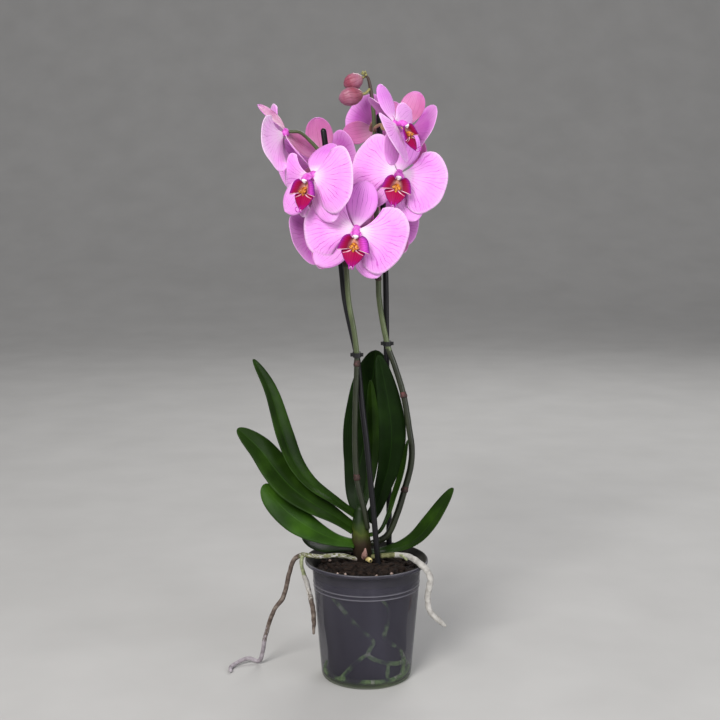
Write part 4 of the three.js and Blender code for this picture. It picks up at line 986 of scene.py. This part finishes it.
def build_leaves():
    """Nine blades, green and waxy above, paler below."""
    for k, leaf in enumerate(LEAVES):
        # Some leaves take a copy of the upper finish with painted shade or with a painted highlight.
        upper = LEAF_PAINTED_LIGHT_COPIES.get(leaf.get("painted_light"), LEAF_UPPER)
        make_piece(f"leaf_{k + 1}_blade", [leaf_shape(leaf)], [upper, LEAF_UNDER], [f"leaf_{k + 1}"])


# ---- Flowers ----
def flower_turn(flower):
    """The matrix that turns the flower's own frame (x right, y up, z to its viewer) into the plant's."""
    h, t, r = (math.radians(flower[key]) for key in ("heading", "tilt", "roll"))
    turn_z = np.array([[math.cos(h), -math.sin(h), 0], [math.sin(h), math.cos(h), 0], [0, 0, 1]])
    e = math.pi / 2 - t
    turn_x = np.array([[1, 0, 0], [0, math.cos(e), -math.sin(e)], [0, math.sin(e), math.cos(e)]])
    turn_r = np.array([[math.cos(r), math.sin(r), 0], [-math.sin(r), math.cos(r), 0], [0, 0, 1]])
    return turn_z @ turn_x @ turn_r


def bent_back(along, angle):
    """How far out a point of a blade comes, and how far back, once the blade is bent by an angle."""
    beyond = along ** 2 / (along + BEND_START)
    return along - beyond * (1 - math.cos(angle)), beyond * math.sin(angle)


def in_plane(along, across, height, aim):
    """Points of a blade that lies along an aim, in the flower's own frame."""
    return np.stack([along * math.cos(aim) - across * math.sin(aim),
                     along * math.sin(aim) + across * math.cos(aim), height], axis=-1)


def petal_shape(side, aim_degrees, bend, draw, rows=26, cols=41):
    """A broad petal. draw makes each one's edge its own."""
    spread = math.radians(PETAL_SPREAD)
    u, w = np.meshgrid(np.linspace(0, 1, rows) ** 0.9, np.linspace(-1, 1, cols), indexing="ij")
    v = side * w
    s = PETAL_FOOT + (1 - PETAL_FOOT) * u
    angle = side * v * spread * (0.62 + 0.38 * s)
    start, second, third = (draw.uniform(0, 6.3) for _ in range(3))
    outline = 1 + 0.014 * np.sin(4.6 * v + start) + 0.007 * np.sin(11 * v + second)
    radius = PETAL_REACH * s * (1 - 0.04 * v * v - 0.31 * v ** 6) * (1 + (outline - 1) * s ** 3)
    height = 0.2 + PETAL_HOLLOW * np.sin(2.2 * s) - PETAL_CURL * s * s - PETAL_DROOP * v * v * s
    height = height + PETAL_WAVE * np.sin(3.4 * v + 0.8) * s ** 3
    height = height + PETAL_FRILL * np.sin(7.5 * v + third) * s ** 5
    along, drop = bent_back(radius * np.cos(angle), math.radians(bend))
    middle = in_plane(along, radius * np.sin(angle), height - drop, math.radians(aim_degrees))
    thick = (PETAL_THICKNESS - 0.2 * u) * (0.45 + 0.55 * np.clip((1 - np.maximum(np.abs(v), u) ** 8), 0, 1))
    return blade(middle, thick, 0, 1)


def sepal_shape(aim_degrees, reach, bend=0, front=2, rows=26, cols=15):
    """A narrow sepal behind the petals, widest at SEPAL_WIDEST of its length and round at the tip."""
    u, v = np.meshgrid(np.linspace(0, 1, rows), np.linspace(-1, 1, cols), indexing="ij")
    s = PETAL_FOOT + (1 - PETAL_FOOT) * np.sin(math.pi / 2 * u)
    swell = 0.04 + 0.96 * np.sin(math.pi / 2 * np.clip(s / SEPAL_WIDEST, 0, 1)) ** 1.3
    past = np.clip((s - SEPAL_WIDEST) / (1 - SEPAL_WIDEST), 0, 1)
    tip = np.sqrt(np.clip(1 - past ** 2.2, 4e-4, 1))
    across = v * SEPAL_WIDTH / 2 * swell * tip
    along, drop = bent_back(reach * s, math.radians(bend))
    height = -1.7 - 2.6 * s * s - 1.4 * v * v * swell - drop
    thick = (PETAL_THICKNESS + 0.1 - 0.3 * u) * (0.5 + 0.5 * np.clip(1 - np.abs(v) ** 8, 0, 1))
    return blade(in_plane(along, across, height, math.radians(aim_degrees)), thick, front, 3)


def hub_shape():
    """The round knob behind the face, where petals, sepals and stalk meet."""
    z = HUB_BACK + HUB_DEPTH
    turns = np.linspace(math.pi, 0, 9)
    points = [(0, 0, z + HUB_DEPTH * 0.9 * math.cos(a)) for a in turns]
    radii = [0.6 + (HUB_RADIUS - 0.6) * math.sin(a) for a in turns]
    return tube(points, radii, sides=18, finish=4, ends=False)


def build_bloom(number, flower):
    """Three sepals and two petals about the knob, turned and set in place."""
    draw = random.Random(40 + number)
    aims = flower.get("petals", PETAL_AIMS)
    laterals = flower.get("laterals", 0)
    shapes = [
        hub_shape(),
        sepal_shape(flower.get("dorsal_aim", DORSAL_AIM), DORSAL_REACH, flower.get("dorsal", 0), front=5),
        sepal_shape(LATERAL_AIMS[0], LATERAL_REACH, laterals),
        sepal_shape(flower.get("far_sepal", LATERAL_AIMS[1]), LATERAL_REACH, laterals),
        petal_shape(-1, aims[0], flower["bend"][0], draw),
        petal_shape(1, aims[1], flower["bend"][1], draw),
    ]
    # Flowers with painted_lit_back get petal backs made almost white by painted light.
    petal_back = PETAL_BACK_PAINTED_LIT if flower.get("painted_lit_back") else PETAL_BACK
    turn = flower_turn(flower) * flower["size"]
    return make_piece(f"bloom_{number:02d}_petals", [moved(shape, turn, flower["at"]) for shape in shapes],
                      [PETAL_FRONT, petal_back, SEPAL_FRONT, SEPAL_BACK, COLUMN_PINK, DORSAL_FRONT],
                      [f"bloom_{number:02d}"])


def middle_lobe(rows=36, cols=21):
    """The lip's blade: a neck, two broad corners at 0.6 of its length and a point, with a low keel."""
    route = [(0, -3.4, 4.4), (0, -12, 8.4), (0, -23, 11.8), (0, -34, 13)]
    u = np.linspace(0, 1, rows)
    at = curve_points(route, u * (len(route) - 1))
    half = np.interp(
        u, [0, 0.2, 0.4, 0.5, 0.6, 0.64, 0.8, 0.92, 1], [1.6, 2.4, 3.8, 7.2, 10.6, 10.9, 7.4, 3.2, 0.6])
    v = np.linspace(-1, 1, cols)
    keel = 0.5 * np.exp(-(v / 0.18) ** 2)
    x = v[None, :] * half[:, None]
    z = -0.16 * half[:, None] * (v ** 2)[None, :] + keel[None, :] * (half[:, None] > 3)
    y = 1.6 * (np.abs(v) ** 3)[None, :] * np.interp(u, [0.4, 0.62, 0.9], [0, 1, 0])[:, None]
    middle = at[:, None, :] + np.stack([x, y, z], axis=-1)
    thick = LIP_THICKNESS * (0.45 + 0.55 * (1 - v[None, :] ** 6)) * np.ones((rows, 1))
    return blade(middle, thick, 0, 0)


def side_lobe(side, rows=18, cols=19):
    """An ear beside the callus. Its lower margin is a pale rolled edge."""
    u, w = np.meshgrid(np.linspace(0, 1, rows), np.linspace(-1, 1, cols), indexing="ij")
    v = side * w
    high = np.clip(v, 0, 1)
    low = (1 - v) / 2
    foot = np.stack([side * (1.2 + 1.2 * low), -8 - 9 * low, 6.3 + 3.7 * low], axis=-1)
    reach = LOBE_REACH * u * (1 - 0.5 * high * high) * (1 - 0.05 * np.sin(3 * v + 1))
    aim = np.radians(np.where(v > 0, 40 * v, 12 * v))
    rise = (4.6 + 1.4 * v) * u + 1.2 * np.sin(math.pi * u)
    middle = foot + np.stack([side * reach * np.cos(aim), reach * np.sin(aim), rise], axis=-1)
    thick = LIP_THICKNESS * (0.5 + 0.5 * (1 - np.maximum(np.abs(v), u) ** 6))
    shape = blade(middle, thick, 1, 2)
    pale = [4 if side * (sum(shape["uvs"][k][0] for k in face) / len(face) * 2 - 1) < -0.84 else kind
            for face, kind in zip(shape["faces"], shape["finish"])]
    return dict(shape, finish=pale)


def tendril(side):
    """A thin horn at the lip's tip, curled forward and up."""
    route = [(0.3, -32.6, 13), (1.2, -34.6, 14.4), (1.9, -34.6, 17), (2.2, -32.4, 18.8), (2.2, -30.4, 17.6),
             (1.9, -31, 16)]
    return smooth_tube([(side * x, y, z) for x, y, z in route], [0.6, 0.45, 0.4, 0.35, 0.3, 0.2], 6, sides=8,
                       finish=2)


def callus():
    """The yellow bumps between the ears, and a pale ridge from them along each corner of the lip."""
    shapes = []
    for side in (-1, 1):
        horn = [(side * 1.1, -12.6, 10), (side * 1.8, -14.6, 12), (side * 2.8, -16, 13.6),
                (side * 3.8, -15.2, 14)]
        shapes.append(smooth_tube(horn, [1.5, 1.9, 1.4, 0.6], 5, sides=12, finish=3))
        ridge = [(side * 1.4, -17.4, 11), (side * 5, -19.8, 11.5), (side * 9.2, -21.4, 11)]
        shapes.append(smooth_tube(ridge, [0.7, 0.5, 0.2], 5, sides=8, finish=4))
    bump = [(0, -12.6, 9.6), (0, -16, 11.6), (0, -19, 11.4)]
    shapes.append(smooth_tube(bump, [1.6, 2.2, 1.2], 5, sides=12, finish=3))
    return shapes


def column_shapes():
    """The column over the lip, with a small wing at each side and the white cap at its end."""
    body = smooth_tube([(0, -0.5, 2.6), (0, -0.9, 6), (0, -2.2, 9), (0, -3.6, 10.6)], [2.6, 3.4, 3.9, 3.2], 6,
                       sides=20, finish=5)
    cap = smooth_tube(
        [(0, -4.4, 10.4), (0, -5.4, 11.6), (0, -6.6, 11.4)], [2.6, 2.7, 1.3], 5, sides=16, finish=6)
    wings = [smooth_tube([(side * 3, -1.6, 8), (side * 4.2, -3.6, 9.8), (side * 3.4, -5.4, 10)],
                         [1.3, 1.1, 0.5], 5, sides=10, finish=5) for side in (-1, 1)]
    return [body, cap, *wings]


def build_lip(number, flower):
    """The lip, its two ears, callus, tendrils and column as one piece."""
    right_ear = side_lobe(1)
    if flower.get("pink_ear"):
        right_ear["finish"] = [7 if kind == 1 else kind for kind in right_ear["finish"]]
    shapes = [middle_lobe(), side_lobe(-1), right_ear, tendril(-1), tendril(1), *callus(), *column_shapes()]
    turn = flower_turn(flower) * flower["size"]
    return make_piece(f"lip_{number:02d}_and_column", [moved(shape, turn, flower["at"]) for shape in shapes],
                      [LIP_BLADE, LIP_EAR, LIP_OUTSIDE, CALLUS_YELLOW, LIP_MARGIN, COLUMN_PINK, ANTHER_WHITE,
                       LIP_EAR_PINK],
                      [f"lip_{number:02d}"])


# ---- Spikes, stakes, clips and buds ----
def stalk_shape(flower):
    """A flower's stalk, from its spike to the knob behind its face."""
    turn, at = flower_turn(flower), np.array(flower["at"], float)
    back = at + turn @ np.array([0, 0, HUB_BACK]) * flower["size"]
    before = at + turn @ np.array([0, -1, HUB_BACK - flower.get("lead", STALK_LEAD)]) * flower["size"]
    route = [*flower["stalk"], tuple(before), tuple(back)]
    radii = [STALK_RADIUS] * (len(route) - 2) + [1.7, 2.1]
    return smooth_tube(route, radii, 7, sides=12, finish=4, rough=0.04)


def joint_shape(at, way, radius, seed):
    """The short sheath round a joint: it steps out from the stem and runs back in above."""
    steps = [(-2, 0.05), (-1.4, 0.4), (-0.4, 0.75), (0.5, 0.6), (1.2, 0.4), (2.4, 0.25), (4, 0.05)]
    return tube([at + way * step for step, _ in steps], [radius + proud for _, proud in steps], sides=20,
                finish=3, ends=False, rough=0.05, seed=seed)


def spike_shapes(spike):
    """A spike's stem in three finishes, dark at the foot, olive above and brown at the tip, with its joints
    and the stalks of its flowers."""
    count = len(spike["route"]) - 1
    places = list(np.linspace(0, count, count * SPIKE_STEPS + 1))
    points = curve_points(spike["route"], places)
    stem = tube(points, np.interp(places, range(count + 1), spike["radii"]), sides=20, rough=0.02)
    low, high = spike["skins"]
    heights = [np.mean([stem["verts"][k][2] for k in face]) for face in stem["faces"]]
    stem["finish"] = [0 if z < low else 1 if z < high else 2 for z in heights]
    shapes = [stem]
    for k in spike["joints"]:
        at = k * SPIKE_STEPS
        shapes.append(joint_shape(points[at], unit(points[at + 1] - points[at - 1]), spike["radii"][k], k))
    return shapes + [stalk_shape(FLOWERS[k]) for k in spike["flowers"]]


def build_spikes():
    """Both spikes. The right one also carries the stalks of the buds and the knob at its tip."""
    finishes = [SPIKE_DARK, SPIKE_OLIVE, SPIKE_TIP, JOINT_ROSE, STALK_GREEN, STALK_PALE]
    left, right = spike_shapes(SPIKE_LEFT), spike_shapes(SPIKE_RIGHT)
    for bud in BUDS:
        foot, tip = np.array(bud["foot"], float), np.array(bud["tip"], float)
        way = unit(foot - tip)
        route = [bud["stalk"], tuple(foot + way * 2.2), tuple(foot + way * 0.3)]
        right.append(smooth_tube(route, [1.4, 1.2, 1.3], 5, sides=12, finish=5))
    for x, z, size in TIP_KNOBS:
        route = [(x, 5, z - size), (x - 0.4, 5, z), (x - 1, 4.8, z + size)]
        right.append(smooth_tube(route, [size * 0.7, size, size * 0.5], 4, sides=12, finish=5))
    make_piece("spike_left_stem", left, finishes, ["spike_left"])
    make_piece("spike_right_stem", right, finishes, ["spike_right"])


def build_stakes():
    """Two black rods stood in the bark."""
    for side, route in STAKES.items():
        rod = smooth_tube(route, [STAKE_RADIUS] * len(route), 6, sides=20)
        make_piece(f"stake_{side}_rod", [rod], [STAKE_BLACK], [f"stake_{side}"])


def finish_clips():
    """The clips keep their solids, which are already as fine as the real ones, and only get their finish."""
    for side in ("left", "right"):
        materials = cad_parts[f"clip_{side}"].data.materials
        materials.clear()
        materials.append(CLIP_BLACK)


def bud_shape(bud, rows=30, sides=36):
    """A closed bud: plump, with a point, and three seams where its sepals meet."""
    foot, tip = np.array(bud["foot"], float), np.array(bud["tip"], float)
    axis = tip - foot
    across = unit(np.cross(axis, [0, 0, 1.0]))
    up = unit(np.cross(across, axis))
    beside = np.cross(unit(axis), up)
    share = np.linspace(0, 1, rows)
    swell = np.interp(
        share, [0, 0.05, 0.12, 0.34, 0.58, 0.8, 0.94, 1], [0.16, 0.4, 0.62, 0.95, 1, 0.78, 0.4, 0.06])
    verts, uvs = [], []
    for place, wide in zip(share, swell):
        for j in range(sides):
            turn = 2 * math.pi * j / sides
            seam = 1 - 0.12 * math.exp(-((math.cos(1.5 * turn)) / 0.15) ** 2)
            radius = bud["width"] / 2 * wide * seam
            around = up * math.cos(turn) + beside * math.sin(turn)
            verts.append(foot + axis * place + around * radius)
            uvs.append((j / sides, place))
    faces = ring_faces(rows, sides)
    return dict(verts=np.array(verts), faces=faces, uvs=uvs, finish=[0] * len(faces))


def build_buds():
    """The two closed buds at the end of the right spike."""
    for number, bud in enumerate(BUDS, 1):
        make_piece(f"bud_{number}_closed", [bud_shape(bud)], [BUD_ROSE], [f"bud_{number}"])


# ---- Aerial roots ----
def part_finish(shape, choose):
    """Gives each face the finish that choose returns for its middle."""
    middles = [np.mean([shape["verts"][k] for k in face], axis=0) for face in shape["faces"]]
    return dict(shape, finish=[choose(*middle) for middle in middles])


def build_roots():
    """The left root with its branch, and the right root with its short green shoot."""
    draw = random.Random(35)

    def left_skin(x, y, z):
        """Green and white over the rim, silver towards the floor, grey between."""
        if z > 119 and x > -66:
            return 1 if draw.random() > 0.3 else 2
        return 3 if z + draw.uniform(-9, 9) < 34 else 0

    def branch_skin(x, y, z):
        """A green end at the fork, then white, mottled and grey down to its tip."""
        return 4 if z > 104 else 2 if z > 91 else 5 if z > 80 else 0

    def right_skin(x, y, z):
        """Green where it lies on the bark, dry and white beyond."""
        return 1 if x < 27 and z > 100 else 0

    long_root = smooth_tube(ROOT_LEFT, ROOT_LEFT_RADII, ROOT_STEPS, sides=18, rough=0.13, seed=31)
    branch = smooth_tube(ROOT_BRANCH, ROOT_BRANCH_RADII, ROOT_STEPS, sides=16, rough=0.2, seed=32)
    make_piece("aerial_root_left", [part_finish(long_root, left_skin), part_finish(branch, branch_skin)],
               [ROOT_GREY, ROOT_GREEN, ROOT_WHITE, ROOT_SILVER, ROOT_TIP, ROOT_MOTTLED],
               ["root_left"])
    right = smooth_tube(ROOT_RIGHT, ROOT_RIGHT_RADII, ROOT_STEPS, sides=18, rough=0.12, seed=33)
    shoot = smooth_tube([(30, -15, 125.6), (34.5, -19.5, 126), (38.4, -23.6, 123.4)], [1.9, 1.6, 1.2], 5,
                        sides=12, finish=2, seed=34)
    make_piece("aerial_root_right", [part_finish(right, right_skin), shoot],
               [ROOT_WHITE, ROOT_GREEN, ROOT_TIP], ["root_right"])


build_pot()
build_wall_roots()
build_bark()
build_stem()
build_leaves()
for number, flower in enumerate(FLOWERS, 1):
    build_bloom(number, flower)
    build_lip(number, flower)
build_spikes()
build_stakes()
finish_clips()
build_buds()
build_roots()


# ---- Floor, light and camera, in metres ----
# The paint's faint unevenness, in mm.
PAINT_ROLL = 120
FLOOR_REACH = 9.0
SWEEP_START = 2.4
SWEEP_RADIUS = 2.5
SWEEP_STEPS = 24
# Each lamp: where it is, what it is aimed at, its diameter, its power in watts and its colour.
LAMPS = {
    "key": ((-0.75, -1.9, 1.7), (0, 0, 0.42), 1.0, 58, (1.0, 0.985, 0.965)),
    "fill": ((1.7, -1.3, 0.9), (0, 0, 0.35), 1.6, 20, (0.94, 0.96, 1.0)),
    "back": ((0.5, 1.6, 1.7), (0, 0, 0.4), 1.2, 18, (1.0, 1.0, 1.0)),
}
ROOM_COLOUR = (0.62, 0.62, 0.64, 1)
ROOM_STRENGTH = 0.5
LENS_MM = 65
SENSOR_MM = 36
CAMERA_PLACE = (-0.0063, -1.229, 0.4926)
CAMERA_DOWN = 8.3


def floor_finish():
    """Matt painted board: an even pale grey with the faint clouds a paint roller leaves."""
    material, add = new_material("pale_painted_board")
    here = add("TexCoord").outputs["Object"]
    grain = add("TexNoise", {"Vector": here, "Scale": per_mm(PAINT_ROLL), "Detail": 3.0})
    ground = add("ValToRGB", {0: grain}, stops=[(0.3, "#b7b6b4"), (0.7, "#bdbcba")])
    shader = add("BsdfPrincipled", {"Base Color": ground, "Roughness": 0.85, "Specular IOR Level": 0.1})
    add("OutputMaterial", {"Surface": shader})
    return material


def build_stage():
    """A plain pale floor that sweeps up far behind the plant, so that no edge shows."""
    profile = [(-FLOOR_REACH, 0.0), (SWEEP_START, 0.0)]
    for k in range(1, SWEEP_STEPS + 1):
        turn = math.pi / 2 * k / SWEEP_STEPS
        profile.append((SWEEP_START + SWEEP_RADIUS * math.sin(turn), SWEEP_RADIUS * (1 - math.cos(turn))))
    profile.append((SWEEP_START + SWEEP_RADIUS, FLOOR_REACH))
    mesh = bpy.data.meshes.new("floor")
    verts = [(x, y, z) for y, z in profile for x in (-FLOOR_REACH, FLOOR_REACH)]
    faces = [(2 * k, 2 * k + 1, 2 * k + 3, 2 * k + 2) for k in range(len(profile) - 1)]
    mesh.from_pydata(verts, [], faces)
    mesh.materials.append(floor_finish())
    mesh.polygons.foreach_set("use_smooth", [True] * len(faces))
    floor = bpy.data.objects.new("floor", mesh)
    bpy.context.collection.objects.link(floor)


def build_light():
    """Three round softboxes in an even grey room."""
    for name, (place, target, size, power, colour) in LAMPS.items():
        lamp = bpy.data.lights.new(name, "AREA")
        lamp.shape = "DISK"
        lamp.size = size
        lamp.energy = power
        lamp.color = colour
        light = bpy.data.objects.new(name, lamp)
        light.location = place
        light.rotation_mode = "QUATERNION"
        light.rotation_quaternion = (Vector(target) - Vector(place)).to_track_quat("-Z", "Y")
        bpy.context.collection.objects.link(light)
    world = bpy.data.worlds.new("studio")
    world.use_nodes = True
    room = world.node_tree.nodes["Background"].inputs
    room["Color"].default_value = ROOM_COLOUR
    room["Strength"].default_value = ROOM_STRENGTH
    bpy.context.scene.world = world
    bpy.context.scene.view_settings.view_transform = "Standard"
    bpy.context.scene.view_settings.look = "None"


def build_camera():
    """A level look at the plant from in front, tilted down a little."""
    lens = bpy.data.cameras.new("camera")
    lens.lens = LENS_MM
    lens.sensor_width = SENSOR_MM
    camera = bpy.data.objects.new("camera", lens)
    camera.location = CAMERA_PLACE
    camera.rotation_euler = (math.radians(90 - CAMERA_DOWN), 0, 0)
    bpy.context.collection.objects.link(camera)
    bpy.context.scene.camera = camera


build_stage()
build_light()
build_camera()
